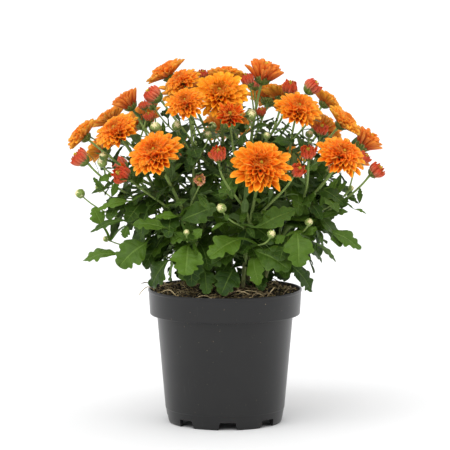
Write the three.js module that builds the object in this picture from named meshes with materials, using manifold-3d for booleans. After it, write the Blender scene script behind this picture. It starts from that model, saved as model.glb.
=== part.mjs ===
// Pot chrysanthemum: a bushy spray of double orange flowers in a round nursery pot.
//
// The pot is a thin moulded shell with a deep collar, a raised floor and drain notches round its foot.
// Potting soil fills it up to the rim. Eight rooted stems stand in the soil. Each stem has a leader, which
// carries one head at its tip, and side shoots, which leave the leader on the way up and carry the rest.
// A head is an open flower, a half-open flower or a coloured bud, and is a piece of its own, seated on the
// tip of its shoot. The small green buds are one piece with their stem. The large leaves are pieces too.
//
// Millimetres, +Z up. The origin is the middle of the pot's foot, on the surface that it stands on.
// The front of the plant faces -Y. A bearing is 0 towards the front (-Y) and 90 towards +X.

import * as THREE from "three";
import { mergeVertices } from "three/addons/utils/BufferGeometryUtils.js";
import Module from "manifold-3d";

// ---- Driving dimensions -------------------------------------------------------------------------

const RIM_RADIUS = 60;
const POT_HEIGHT = 105;
const COLLAR_HEIGHT = 20;
const COLLAR_FOOT_RADIUS = 58.6;
const BODY_TOP_RADIUS = 53.2;
const BODY_FOOT_RADIUS = 46.3;
const FOOT_RADIUS = 44;
const FOOT_BEND_HEIGHT = 11;
const WALL = 1.3;
const FLOOR_UNDERSIDE = 6.6;
const FLOOR_THICKNESS = 1.4;

const NOTCHES = 8;
const NOTCH_FIRST_BEARING = 2.6;
const NOTCH_HEIGHT = 6;
const NOTCH_TOP_WIDTH = 12;
const NOTCH_FOOT_WIDTH = 15;
const DRAIN_WIDTH = 8;
const DRAIN_LENGTH = 6;
const DRAIN_MIDDLE_RADIUS = 36;

const SOIL_EDGE_HEIGHT = 100.5;
const SOIL_CROWN_HEIGHT = 103.5;
const SOIL_LUMP = 0.7;

const CLEARANCE = 0.35; // between a piece and the one that it sits on or in
const ROOT_DEPTH = 22; // how far each stem goes down into the soil
const LEADER_RADIUS = 1.7;
const SHOOT_RADIUS = 1.2;
const TWIG_RADIUS = 0.9; // shoot of a small green bud

const LEAF_THICKNESS = 0.8;
const PETIOLE_WIDTH = 1.8;

// ---- Where the stems, heads and leaves are ------------------------------------------------------

// Each stem: where it stands on the soil. Its first head is its leader's.
// A head: kind, middle [x, y, z], diameter, lean from upright in degrees, bearing of the lean, and how far
// up the leader its shoot leaves, from 0 to 1. The names are given in order, kind by kind.
const STEMS = [
  {
    root: [13, -20],
    heads: [
      ["flower", [27, -84, 209], 50, 55, 5],
      ["half_open", [4, -66, 246], 20, 58, 0, 0.28],
      ["bud", [-5, -82, 218], 12.5, 22, -5, 0.5],
      ["bud", [55, -76, 205], 12.5, 42, 25, 0.44],
      ["green", [-3, -92, 178], 8.5, 40, -30, 0.4],
      ["green", [35, -88, 158], 7.5, 45, 15, 0.3],
    ],
  },
  {
    root: [-14, -18],
    heads: [
      ["flower", [-53, -68, 217], 46, 46, -22],
      ["flower", [-30, -50, 254], 34, 44, -15, 0.3],
      ["bud", [-79, -57, 200], 14, 50, -45, 0.42],
      ["green", [-19, -88, 199], 11, 65, -5, 0.46],
      ["green", [-53, -46, 235], 10, 12, -20, 0.6],
      ["green", [-29, -86, 159], 5.5, 30, 0, 0.36],
    ],
  },
  {
    root: [27, -10],
    heads: [
      ["flower", [89, -58, 215], 42, 44, 30],
      ["flower", [56, -46, 249], 40, 40, 18, 0.3],
      ["bud", [63, -69, 218], 12, 26, -2, 0.5],
      ["bud", [117, -24, 200], 12, 36, 70, 0.28],
      ["flower", [92, -16, 237], 34, 44, 72, 0.36],
      ["green", [64, -62, 164], 7, 35, 25, 0.34],
      ["green", [97, -26, 186], 5.5, 35, 60, 0.42],
      ["green", [65, -26, 228], 7, 14, 20, 0.55],
    ],
  },
  {
    root: [-26, -4],
    heads: [
      ["flower", [-83, -42, 232], 40, 42, -42],
      ["flower", [-111, -12, 227], 34, 50, -95, 0.42],
      ["bud", [-112, -27, 210], 13.5, 38, -78, 0.36],
      ["half_open", [-77, 0, 253], 23, 34, -78, 0.4],
      ["green", [-112, -26, 182], 8.5, 42, -75, 0.22],
      ["green", [-94, -44, 208], 9, 25, -30, 0.62],
      ["green", [-92, -28, 147], 5.5, 62, -70, 0.16],
    ],
  },
  {
    root: [2, -3],
    heads: [
      ["flower", [-4, -32, 260], 46, 50, -3],
      ["flower", [-34, -13, 268.5], 33, 34, -50, 0.42],
      ["flower", [-46, 11, 273.5], 36, 31, -88, 0.3],
      ["bud", [-56, -14, 258], 14, 36, -82, 0.36],
      ["green", [20, -34, 243], 9.5, 8, 10, 0.6],
      ["green", [-37, -36, 235], 8.5, 20, 10, 0.5],
      ["green", [32, -40, 228], 6.5, 14, 10, 0.45],
    ],
  },
  {
    root: [18, 10],
    heads: [
      ["half_open", [31, -2, 276.5], 28, 14, 80],
      ["flower", [0, 22, 270], 36, 16, 180, 0.5],
      ["bud", [50, -18, 264], 13, 14, 10, 0.55],
      ["flower", [44, 22, 256], 32, 24, 170, 0.46],
      ["bud", [68, 4, 263], 13, 24, 90, 0.42],
      ["flower", [80, 26, 250], 31, 42, 110, 0.34],
      ["half_open", [112, 10, 221], 25, 42, 88, 0.22],
      ["green", [76, 4, 228], 9, 12, 60, 0.3],
    ],
  },
  {
    root: [-15, 14],
    heads: [
      ["flower", [-33, 58, 258], 42, 34, -155],
      ["flower", [-91, 18, 236.5], 33, 36, -110, 0.36],
      ["flower", [-98, 42, 212], 38, 48, -115, 0.28],
      ["flower", [-68, 62, 232], 40, 44, -135, 0.4],
      ["bud", [-84, 72, 196], 14, 46, -130, 0.22],
      ["green", [-100, 58, 178], 8.5, 50, -120, 0.16],
      ["green", [-58, 26, 252], 9, 14, -120, 0.62],
      ["green", [-40, 96, 172], 7, 44, -160, 0.3],
    ],
  },
  {
    root: [5, 26],
    heads: [
      ["flower", [2, 84, 226], 46, 50, 180],
      ["flower", [36, 62, 251], 42, 36, 150, 0.36],
      ["flower", [78, 60, 226], 41, 46, 128, 0.28],
      ["flower", [46, 86, 201], 40, 56, 155, 0.4],
      ["flower", [-44, 87, 203], 42, 56, -155, 0.34],
      ["half_open", [102, 42, 207], 26, 46, 112, 0.2],
      ["bud", [82, 82, 192], 14, 44, 138, 0.24],
      ["green", [2, 96, 184], 9, 46, 178, 0.46],
      ["green", [14, 60, 250], 8.5, 18, 170, 0.55],
      ["green", [88, 66, 170], 8, 48, 125, 0.14],
    ],
  },
];

// The large leaves. Each grows from a shoot: the stem and head that the shoot belongs to, and how far along
// it the leaf leaves it. The heel is where the stalk widens into the blade. The upper face looks along face.
const LEAVES = [
  { stem: 2, head: 0, along: 0.34, heel: [-28, -62, 146], tip: [-30, -76, 125], face: [0.05, -0.9, 0.45], wide: 26 },
  { stem: 2, head: 0, along: 0.22, heel: [-43, -40, 132], tip: [-57, -29, 110], face: [-0.4, -0.75, 0.5], wide: 21 },
  { stem: 4, head: 4, along: 0.4, heel: [-60, -48, 147], tip: [-81, -56, 129], face: [-0.2, -0.85, 0.5], wide: 26 },
  { stem: 4, head: 6, along: 0.77, heel: [-82, -38, 137], tip: [-109, -36, 131], face: [-0.1, -0.45, 0.9], wide: 17 },
  { stem: 1, head: 5, along: 0.53, heel: [13, -60, 151], tip: [-12, -78, 139], face: [-0.1, -0.7, 0.7], wide: 23 },
  { stem: 1, head: 0, along: 0.41, heel: [23, -58, 142], tip: [49, -68, 128], face: [0.1, -0.8, 0.6], wide: 24 },
  { stem: 3, head: 5, along: 0.66, heel: [55, -60, 156], tip: [56, -73, 131], face: [0.1, -0.9, 0.4], wide: 24 },
  { stem: 3, head: 0, along: 0.24, heel: [50, -38, 128], tip: [67, -30, 107], face: [0.45, -0.7, 0.5], wide: 17 },
  { stem: 3, head: 3, along: 0.4, heel: [79, -42, 155], tip: [104, -44, 141], face: [0.1, -0.6, 0.75], wide: 16 },
  { stem: 7, head: 4, along: 0.26, heel: [-36, 58, 146], tip: [-48, 78, 126], face: [-0.3, 0.75, 0.6], wide: 28 },
  { stem: 8, head: 6, along: 0.32, heel: [22, 62, 146], tip: [26, 84, 126], face: [0.1, 0.8, 0.6], wide: 28 },
];

// ---- Solids -------------------------------------------------------------------------------------

const wasm = await Module();
wasm.setup();

function solidFrom(geometry) {
  const bare = geometry.clone();
  bare.deleteAttribute("normal");
  bare.deleteAttribute("uv");
  const merged = mergeVertices(bare, 1e-4);
  return new wasm.Manifold(
    new wasm.Mesh({
      numProp: 3,
      vertProperties: new Float32Array(merged.attributes.position.array),
      triVerts: new Uint32Array(merged.index.array),
    }),
  );
}

function geometryFrom(solid) {
  const mesh = solid.getMesh();
  const geometry = new THREE.BufferGeometry();
  geometry.setAttribute("position", new THREE.BufferAttribute(new Float32Array(mesh.vertProperties), 3));
  geometry.setIndex(new THREE.BufferAttribute(new Uint32Array(mesh.triVerts), 1));
  geometry.computeVertexNormals();
  return geometry;
}

// Turns a profile of [radius, height] points about +Z.
function turned(profile, segments) {
  const points = profile.map(([radius, height]) => new THREE.Vector2(radius, height));
  return new THREE.LatheGeometry(points, segments).rotateX(Math.PI / 2);
}

// Direction that leans from upright towards a bearing.
function leaning(lean, bearing) {
  const tilt = THREE.MathUtils.degToRad(lean);
  const turn = THREE.MathUtils.degToRad(bearing);
  return new THREE.Vector3(Math.sin(tilt) * Math.sin(turn), -Math.sin(tilt) * Math.cos(turn), Math.cos(tilt));
}

// ---- Pot ----------------------------------------------------------------------------------------

const POT_SEGMENTS = 40;

function potShell() {
  const collarFoot = POT_HEIGHT - COLLAR_HEIGHT;
  const innerFloor = FLOOR_UNDERSIDE + FLOOR_THICKNESS;
  const profile = [
    [0, FLOOR_UNDERSIDE],
    [FOOT_RADIUS - 3, FLOOR_UNDERSIDE],
    [FOOT_RADIUS - 2, 0],
    [FOOT_RADIUS, 0],
    [FOOT_RADIUS + 0.9, 2.5],
    [BODY_FOOT_RADIUS, FOOT_BEND_HEIGHT],
    [BODY_TOP_RADIUS, collarFoot],
    [COLLAR_FOOT_RADIUS - 0.8, collarFoot],
    [COLLAR_FOOT_RADIUS, collarFoot + 0.8],
    [RIM_RADIUS, POT_HEIGHT - 1],
    [RIM_RADIUS - 0.5, POT_HEIGHT],
    [RIM_RADIUS - WALL, POT_HEIGHT],
    [COLLAR_FOOT_RADIUS - WALL, collarFoot + WALL],
    [BODY_TOP_RADIUS - WALL, collarFoot + WALL],
    [BODY_FOOT_RADIUS - WALL, FOOT_BEND_HEIGHT],
    [BODY_FOOT_RADIUS - WALL - 0.8, innerFloor],
    [0, innerFloor],
  ];
  let pot = solidFrom(turned(profile, POT_SEGMENTS));
  for (let i = 0; i < NOTCHES; i += 1) {
    const bearing = NOTCH_FIRST_BEARING + (i * 360) / NOTCHES;
    pot = pot.subtract(notchCutter(bearing)).subtract(drainCutter(bearing));
  }
  return pot;
}

// A trapezium pushed outwards through the foot ring.
function notchCutter(bearing) {
  const outline = new THREE.Shape();
  outline.moveTo(-NOTCH_FOOT_WIDTH / 2, -1);
  outline.lineTo(NOTCH_FOOT_WIDTH / 2, -1);
  outline.lineTo(NOTCH_TOP_WIDTH / 2, NOTCH_HEIGHT);
  outline.lineTo(-NOTCH_TOP_WIDTH / 2, NOTCH_HEIGHT);
  outline.closePath();
  const reach = 12;
  const cutter = new THREE.ExtrudeGeometry(outline, { depth: reach, bevelEnabled: false });
  cutter.rotateX(Math.PI / 2).translate(0, reach - BODY_FOOT_RADIUS - 2, 0);
  cutter.rotateZ(THREE.MathUtils.degToRad(bearing));
  return solidFrom(cutter);
}

// A slot through the floor, just inside each notch.
function drainCutter(bearing) {
  const slot = new THREE.BoxGeometry(DRAIN_WIDTH, DRAIN_LENGTH, 2 * FLOOR_THICKNESS + 2);
  slot.translate(0, -DRAIN_MIDDLE_RADIUS, FLOOR_UNDERSIDE + FLOOR_THICKNESS / 2);
  slot.rotateZ(THREE.MathUtils.degToRad(bearing));
  return solidFrom(slot);
}

// ---- Soil ---------------------------------------------------------------------------------------

const SOIL_SEGMENTS = 28;

function soilBody() {
  const inside = WALL + CLEARANCE;
  const collarFoot = POT_HEIGHT - COLLAR_HEIGHT + WALL + CLEARANCE;
  const slope = (RIM_RADIUS - COLLAR_FOOT_RADIUS) / COLLAR_HEIGHT;
  const edge = COLLAR_FOOT_RADIUS - inside - 0.3 + slope * (SOIL_EDGE_HEIGHT - collarFoot);
  const profile = [
    [0, FLOOR_UNDERSIDE + FLOOR_THICKNESS + CLEARANCE],
    [BODY_FOOT_RADIUS - inside - 1.2, FLOOR_UNDERSIDE + FLOOR_THICKNESS + CLEARANCE],
    [BODY_FOOT_RADIUS - inside - 0.4, FOOT_BEND_HEIGHT + 1],
    [BODY_TOP_RADIUS - inside - 0.4, collarFoot],
    [COLLAR_FOOT_RADIUS - inside - 0.4, collarFoot],
    [edge, SOIL_EDGE_HEIGHT],
    [0.7 * edge, (SOIL_EDGE_HEIGHT + SOIL_CROWN_HEIGHT) / 2],
    [0.35 * edge, SOIL_CROWN_HEIGHT - 0.5],
    [0, SOIL_CROWN_HEIGHT],
  ];
  const firstTopPoint = profile.length - 3;
  const soil = turned(profile, SOIL_SEGMENTS);
  const place = soil.getAttribute("position");
  for (let i = 0; i < place.count; i += 1) {
    const segment = Math.floor(i / profile.length) % SOIL_SEGMENTS;
    const point = i % profile.length;
    if (point >= firstTopPoint && point < profile.length - 1) {
      place.setZ(i, place.getZ(i) + SOIL_LUMP * Math.sin(segment * 2.3 + point * 1.7));
    }
  }
  return solidFrom(soil);
}

// ---- Heads --------------------------------------------------------------------------------------

// Profiles in diameters, from the seat on the shoot to the crown: radius, height, and how much every other
// point is drawn in, which gives the edge of each tier its row of petals.
const HEADS = {
  flower: {
    petals: 8,
    seat: -0.22,
    profile: [
      [0.06, -0.22, 0],
      [0.17, -0.15, 0],
      [0.5, -0.03, 0.2],
      [0.43, 0.07, -0.18],
      [0.26, 0.15, 0.12],
      [0.08, 0.15, 0],
    ],
  },
  half_open: {
    petals: 8,
    seat: -0.46,
    profile: [
      [0.08, -0.46, 0],
      [0.24, -0.4, 0],
      [0.36, -0.1, 0],
      [0.5, 0.2, 0.22],
      [0.36, 0.28, -0.2],
      [0.16, 0.3, 0],
    ],
  },
  bud: {
    petals: 5,
    seat: -0.62,
    profile: [
      [0.1, -0.62, 0],
      [0.36, -0.5, 0],
      [0.5, -0.1, 0],
      [0.42, 0.38, 0],
      [0.2, 0.68, 0.3],
    ],
  },
};

function headGeometry(kind, across) {
  const { petals, profile } = HEADS[kind];
  const segments = 2 * petals;
  const rings = [[0, profile[0][1]], ...profile, [0, profile[profile.length - 1][1] - 0.02]];
  const head = turned(rings.map(([radius, height]) => [radius * across, height * across]), segments);
  const place = head.getAttribute("position");
  for (let i = 0; i < place.count; i += 1) {
    const segment = Math.floor(i / rings.length) % segments;
    const drawnIn = rings[i % rings.length][2] || 0;
    const pulled = drawnIn > 0 ? segment % 2 === 1 : segment % 2 === 0;
    const share = pulled ? 1 - Math.abs(drawnIn) : 1;
    place.setXY(i, place.getX(i) * share, place.getY(i) * share);
  }
  return head;
}

// ---- Stems --------------------------------------------------------------------------------------

// Where a shoot ends: just under the seat of its head, heading the way the head faces.
function shootEnd([kind, middle, across, lean, bearing]) {
  const facing = leaning(lean, bearing);
  const seat = kind === "green" ? 0 : -HEADS[kind].seat * across + CLEARANCE;
  return { point: new THREE.Vector3(...middle).addScaledVector(facing, -seat), facing };
}

// The leader rises upright out of the soil and bends over to its head.
function leaderCurve(stem, extraDepth = 0) {
  const end = shootEnd(stem.heads[0]);
  const root = new THREE.Vector3(...stem.root, SOIL_CROWN_HEIGHT - ROOT_DEPTH - extraDepth);
  const reach = root.distanceTo(end.point);
  return new THREE.CubicBezierCurve3(
    root,
    root.clone().add(new THREE.Vector3(0, 0, 0.45 * reach)),
    end.point.clone().addScaledVector(end.facing, -0.3 * reach),
    end.point,
  );
}

// A side shoot leaves its leader along it, and bends away to its own head.
function shootCurve(leader, head) {
  const end = shootEnd(head);
  const fork = leader.getPoint(head[5]);
  const reach = fork.distanceTo(end.point);
  return new THREE.CubicBezierCurve3(
    fork,
    fork.clone().addScaledVector(leader.getTangent(head[5]), 0.3 * reach),
    end.point.clone().addScaledVector(end.facing, -0.35 * reach),
    end.point,
  );
}

function tube(curve, radius, steps, sides = 6) {
  const section = new THREE.Shape();
  for (let i = 0; i < sides; i += 1) {
    const turn = (i * 2 * Math.PI) / sides;
    section.lineTo(radius * Math.cos(turn), radius * Math.sin(turn));
  }
  section.curves.shift();
  return solidFrom(new THREE.ExtrudeGeometry(section, { steps, extrudePath: curve, bevelEnabled: false }));
}

const LEADER_STEPS = 10;
const SHOOT_STEPS = 5;
const TWIG_STEPS = 4;

function shootRadius(stem, head) {
  if (head === 0) return LEADER_RADIUS;
  return stem.heads[head][0] === "green" ? TWIG_RADIUS : SHOOT_RADIUS;
}

function stemSolid(stem, curves) {
  let solid = tube(curves[0], LEADER_RADIUS, LEADER_STEPS);
  stem.heads.forEach(([kind, middle, across], i) => {
    if (i === 0) return;
    const isTwig = kind === "green";
    solid = solid.add(tube(curves[i], shootRadius(stem, i), isTwig ? TWIG_STEPS : SHOOT_STEPS, isTwig ? 5 : 6));
    if (isTwig) {
      solid = solid.add(solidFrom(new THREE.SphereGeometry(across / 2, 7, 5).translate(...middle)));
    }
  });
  return solid;
}

// ---- Leaves -------------------------------------------------------------------------------------

const STALK_STATIONS = 3;
const BLADE_STATIONS = 12;
const LEAF_ARCH = 0.1; // rise of the middle of the blade over the line from heel to tip, as a share of it
const LEAF_FOLD = 0.16; // rise of the edges over the midrib

// Half the width of the blade at each station from the heel, as a share of the leaf's half width:
// a wedge that widens outwards, cut in between two pairs of side lobes and the end lobe.
const BLADE_OUTLINE = [0.12, 0.26, 0.55, 0.82, 0.6, 0.8, 1, 0.94, 0.58, 0.62, 0.52, 0.3, 0.05];

function leafHalfWidth(station, wide) {
  const blade = station < STALK_STATIONS ? 0 : BLADE_OUTLINE[station - STALK_STATIONS];
  return Math.max(PETIOLE_WIDTH / 2, (blade * wide) / 2);
}

// A ribbon that follows the leaf's midrib from its shoot over the heel to the tip, folded along the midrib.
function leafGeometry(shoot, radius, { along, heel, tip, face, wide }) {
  const node = shoot.getPoint(along);
  const heelPoint = new THREE.Vector3(...heel);
  const tipPoint = new THREE.Vector3(...tip);
  const upper = new THREE.Vector3(...face).normalize();
  const away = heelPoint.clone().sub(node);
  const tangent = shoot.getTangent(along);
  const sideways = away.clone().addScaledVector(tangent, -away.dot(tangent)).normalize();
  const base = node.clone().addScaledVector(sideways, radius + CLEARANCE + 0.5);
  const elbow = base.clone().lerp(heelPoint, 0.55).add(new THREE.Vector3(0, 0, 0.08 * away.length()));
  const crest = heelPoint.clone().lerp(tipPoint, 0.5);
  crest.addScaledVector(upper, LEAF_ARCH * heelPoint.distanceTo(tipPoint));
  const midrib = new THREE.CatmullRomCurve3([base, elbow, heelPoint, crest, tipPoint], false, "centripetal");
  const stalkShare = 1 - new THREE.CatmullRomCurve3([heelPoint, crest, tipPoint]).getLength() / midrib.getLength();

  const stations = STALK_STATIONS + BLADE_STATIONS;
  const ribbon = new THREE.BoxGeometry(stations, 2, LEAF_THICKNESS, stations, 2, 1);
  const place = ribbon.getAttribute("position");
  for (let i = 0; i < place.count; i += 1) {
    const station = Math.round(place.getX(i) + stations / 2);
    const share =
      station < STALK_STATIONS
        ? (stalkShare * station) / STALK_STATIONS
        : stalkShare + ((1 - stalkShare) * (station - STALK_STATIONS)) / BLADE_STATIONS;
    const heading = midrib.getTangentAt(share);
    const normal = upper.clone().addScaledVector(heading, -upper.dot(heading)).normalize();
    const left = new THREE.Vector3().crossVectors(normal, heading);
    const out = place.getY(i) * leafHalfWidth(station, wide);
    const rise = place.getZ(i) + LEAF_FOLD * Math.abs(out);
    const point = midrib.getPointAt(share).addScaledVector(left, out).addScaledVector(normal, rise);
    place.setXYZ(i, point.x, point.y, point.z);
  }
  return ribbon;
}

// ---- Assembly -----------------------------------------------------------------------------------

const COLOURS = {
  pot: [0x2b2c2d, 0.55],
  soil: [0x33241a, 0.95],
  stem: [0x6f9150, 0.6],
  leaf: [0x3f7030, 0.6],
  flower: [0xf2861c, 0.6],
  half_open: [0xd9582a, 0.6],
  bud: [0xc04a3c, 0.6],
};

function piece(name, geometry, look) {
  const [color, roughness] = COLOURS[look];
  const mesh = new THREE.Mesh(geometry, new THREE.MeshStandardMaterial({ color, roughness, metalness: 0 }));
  mesh.name = name;
  return mesh;
}

const plant = new THREE.Group();
plant.add(piece("pot", geometryFrom(potShell()), "pot"));

const numbered = (word, number) => `${word}_${String(number).padStart(2, "0")}`;
const counts = { flower: 0, half_open: 0, bud: 0 };
const curvesOfStem = [];
let soil = soilBody();

STEMS.forEach((stem, s) => {
  const leader = leaderCurve(stem);
  const curves = stem.heads.map((head, i) => (i === 0 ? leader : shootCurve(leader, head)));
  curvesOfStem.push(curves);
  plant.add(piece(numbered("stem", s + 1), geometryFrom(stemSolid(stem, curves)), "stem"));
  soil = soil.subtract(tube(leaderCurve(stem, CLEARANCE), LEADER_RADIUS + 2 * CLEARANCE, LEADER_STEPS));
  stem.heads.forEach(([kind, middle, across, lean, bearing]) => {
    if (kind === "green") return;
    counts[kind] += 1;
    const head = piece(numbered(kind, counts[kind]), headGeometry(kind, across), kind);
    head.quaternion.setFromUnitVectors(new THREE.Vector3(0, 0, 1), leaning(lean, bearing));
    head.position.set(...middle);
    plant.add(head);
  });
});
plant.add(piece("soil", geometryFrom(soil), "soil"));

LEAVES.forEach((leaf, i) => {
  const shoot = curvesOfStem[leaf.stem - 1][leaf.head];
  const blade = leafGeometry(shoot, shootRadius(STEMS[leaf.stem - 1], leaf.head), leaf);
  plant.add(piece(numbered("leaf", i + 1), blade, "leaf"));
});

export default plant;
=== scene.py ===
import math
from functools import partialmethod

import bpy
import numpy as np
from mathutils import Matrix, Vector, noise


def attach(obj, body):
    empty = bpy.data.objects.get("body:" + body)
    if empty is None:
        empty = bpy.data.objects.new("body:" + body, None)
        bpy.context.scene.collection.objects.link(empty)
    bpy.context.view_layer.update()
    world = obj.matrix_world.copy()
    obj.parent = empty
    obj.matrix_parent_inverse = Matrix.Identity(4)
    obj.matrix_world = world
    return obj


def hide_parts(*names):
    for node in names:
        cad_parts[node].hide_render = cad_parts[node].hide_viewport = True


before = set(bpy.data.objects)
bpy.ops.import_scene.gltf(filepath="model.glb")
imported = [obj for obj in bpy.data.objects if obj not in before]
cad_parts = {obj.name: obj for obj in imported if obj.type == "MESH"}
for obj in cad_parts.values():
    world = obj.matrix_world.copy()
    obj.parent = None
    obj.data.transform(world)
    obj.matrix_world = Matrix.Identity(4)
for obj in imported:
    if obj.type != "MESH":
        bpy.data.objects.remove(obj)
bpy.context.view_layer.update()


# ---- Pot ----------------------------------------------------------------------------------------
# A round nursery pot, injection moulded from dark grey recycled plastic about 1.3 mm thick. The deep
# collar steps out over the tapering body, and the floor is raised on a foot ring that is notched eight
# times so that water can drain. It is one piece, and everything else stands in it.

RIM_RADIUS = 0.060
POT_HEIGHT = 0.105
COLLAR_FOOT = 0.085  # height of the step under the collar
COLLAR_FOOT_RADIUS = 0.0586
BODY_TOP_RADIUS = 0.0532
BODY_FOOT_RADIUS = 0.0463
FOOT_BEND_HEIGHT = 0.011
FOOT_RADIUS = 0.044
FOOT_RING_WIDTH = 0.002
WALL = 0.0013
FLOOR_UNDERSIDE = 0.0066
FLOOR_TOP = 0.008
EDGE_RADIUS = 0.0009
STEPS_ROUND_POT = 192
NOTCH_COUNT = 8
NOTCH_FIRST_BEARING = math.radians(2.6)
# The outline of a notch and of the slot behind it, as (across, up), and where each starts and ends along +Y.
NOTCH = [(-0.0075, -0.001), (0.0075, -0.001), (0.006, 0.006), (-0.006, 0.006)], -0.0483, -0.0363
SLOT = [(-0.004, 0.004), (0.004, 0.004), (0.004, 0.011), (-0.004, 0.011)], -0.039, -0.033


def object_of(name, data):
    """An object at the origin that shows that mesh, or holds that lamp or camera."""
    made = bpy.data.objects.new(name, data)
    bpy.context.scene.collection.objects.link(made)
    return made


def write_marks(mesh, marks):
    """One float attribute of the mesh's points for each mark."""
    for mark, values in marks.items():
        attribute = mesh.attributes.new(mark, "FLOAT", "POINT")
        attribute.data.foreach_set("value", np.asarray(values, np.float32))


def mesh_object(name, points, faces, marks=None, sharp_above=None):
    """A smooth shaded object with that mesh and those marks."""
    mesh = bpy.data.meshes.new(name)
    mesh.from_pydata([tuple(p) for p in points], [], faces)
    write_marks(mesh, marks or {})
    mesh.shade_smooth()
    if sharp_above is not None:
        mesh.set_sharp_from_angle(angle=math.radians(sharp_above))
    return object_of(name, mesh)


def plain(made):
    """Turns what the object's modifiers give into its own mesh, and takes the modifiers off."""
    graph = bpy.context.evaluated_depsgraph_get()
    mesh = bpy.data.meshes.new_from_object(
        made.evaluated_get(graph), preserve_all_data_layers=True, depsgraph=graph
    )
    made.modifiers.clear()
    old = made.data
    made.data = mesh
    bpy.data.meshes.remove(old)
    mesh.name = made.name
    return made


def ring_round(radius, count, shift=0.0):
    """Places (x, y) round the pot's axis, from the front on. The shift is a share of one step."""
    turns = [2 * math.pi * (i + shift) / count for i in range(count)]
    return [(radius * math.sin(turn), -radius * math.cos(turn)) for turn in turns]


def bands(rings, turned_over=False):
    """Faces between each ring of point numbers and the next. A ring may be one point, repeated."""
    faces = []
    for first, second in zip(rings, rings[1:]):
        for i in range(len(first)):
            j = (i + 1) % len(first)
            corners = [first[i], first[j], second[j], second[i]]
            if turned_over:
                corners[1:] = reversed(corners[1:])
            corners = list(dict.fromkeys(corners))
            if len(corners) > 2:
                faces.append(corners)
    return faces


def turned(profile, segments):
    """Points and faces of a closed profile of (radius, height), turned once round +Z."""
    points, rings = [], []
    for radius, height in profile:
        if radius < 1e-7:
            rings.append([len(points)] * segments)
            points.append((0, 0, height))
        else:
            rings.append(range(len(points), len(points) + segments))
            points += [(x, y, height) for x, y in ring_round(radius, segments)]
    return points, bands(rings)


def eased(profile, radius, steps=3):
    """The same profile with each corner rounded by up to that radius."""
    out = [profile[0]]
    for before, corner, after in zip(profile, profile[1:], profile[2:]):
        b, c, a = (np.array(p, float) for p in (before, corner, after))
        reach = min(radius, 0.42 * np.linalg.norm(b - c), 0.42 * np.linalg.norm(a - c))
        start = c + (b - c) / np.linalg.norm(b - c) * reach
        end = c + (a - c) / np.linalg.norm(a - c) * reach
        for k in range(steps + 1):
            t = k / steps
            out.append(tuple((1 - t) ** 2 * start + 2 * t * (1 - t) * c + t * t * end))
    return out + [profile[-1]]


def block(outline, low, high):
    """Points and faces of a convex outline of (across, up), pushed along +Y from low to high."""
    count = len(outline)
    points = [(x, y, z) for y in (low, high) for x, z in outline]
    faces = [list(range(count)), list(range(2 * count - 1, count - 1, -1))]
    faces += [[(i + 1) % count, i, i + count, (i + 1) % count + count] for i in range(count)]
    return points, faces


pot_profile = [
    (0, FLOOR_UNDERSIDE),
    (FOOT_RADIUS - FOOT_RING_WIDTH - 0.001, FLOOR_UNDERSIDE),
    (FOOT_RADIUS - FOOT_RING_WIDTH, 0),
    (FOOT_RADIUS, 0),
    (FOOT_RADIUS + 0.0009, 0.0025),  # the foot slopes out to the bend of the body
    (BODY_FOOT_RADIUS, FOOT_BEND_HEIGHT),
    (BODY_FOOT_RADIUS + 0.00035, FOOT_BEND_HEIGHT + 0.0004),
    (BODY_TOP_RADIUS, COLLAR_FOOT),
    (COLLAR_FOOT_RADIUS, COLLAR_FOOT),
    (RIM_RADIUS - 0.0004, POT_HEIGHT - 0.0022),  # a fine bead runs round the rim
    (RIM_RADIUS, POT_HEIGHT - 0.0018),
    (RIM_RADIUS, POT_HEIGHT),
    (RIM_RADIUS - WALL, POT_HEIGHT),
    (COLLAR_FOOT_RADIUS - WALL, COLLAR_FOOT + WALL),
    (BODY_TOP_RADIUS - WALL, COLLAR_FOOT + WALL),
    (BODY_FOOT_RADIUS - WALL, FOOT_BEND_HEIGHT),
    (BODY_FOOT_RADIUS - WALL - 0.0008, FLOOR_TOP),
    (0, FLOOR_TOP),
]
pot = mesh_object("pot_shell", *turned(eased(pot_profile, EDGE_RADIUS), STEPS_ROUND_POT))
cutter_points, cutter_faces = [], []
for i in range(NOTCH_COUNT):
    bearing = Matrix.Rotation(NOTCH_FIRST_BEARING + i * 2 * math.pi / NOTCH_COUNT, 4, "Z")
    for outline, low, high in (NOTCH, SLOT):
        points, faces = block(outline, low, high)
        cutter_faces += [[len(cutter_points) + corner for corner in face] for face in faces]
        cutter_points += [tuple(bearing @ Vector(p)) for p in points]
cutter = mesh_object("drain_cutter", cutter_points, cutter_faces)
cut = pot.modifiers.new("drains", "BOOLEAN")
cut.operation, cut.solver, cut.object = "DIFFERENCE", "EXACT", cutter
plain(pot)
bpy.data.objects.remove(cutter)
pot.data.shade_smooth()
pot.data.set_sharp_from_angle(angle=math.radians(38))


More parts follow.
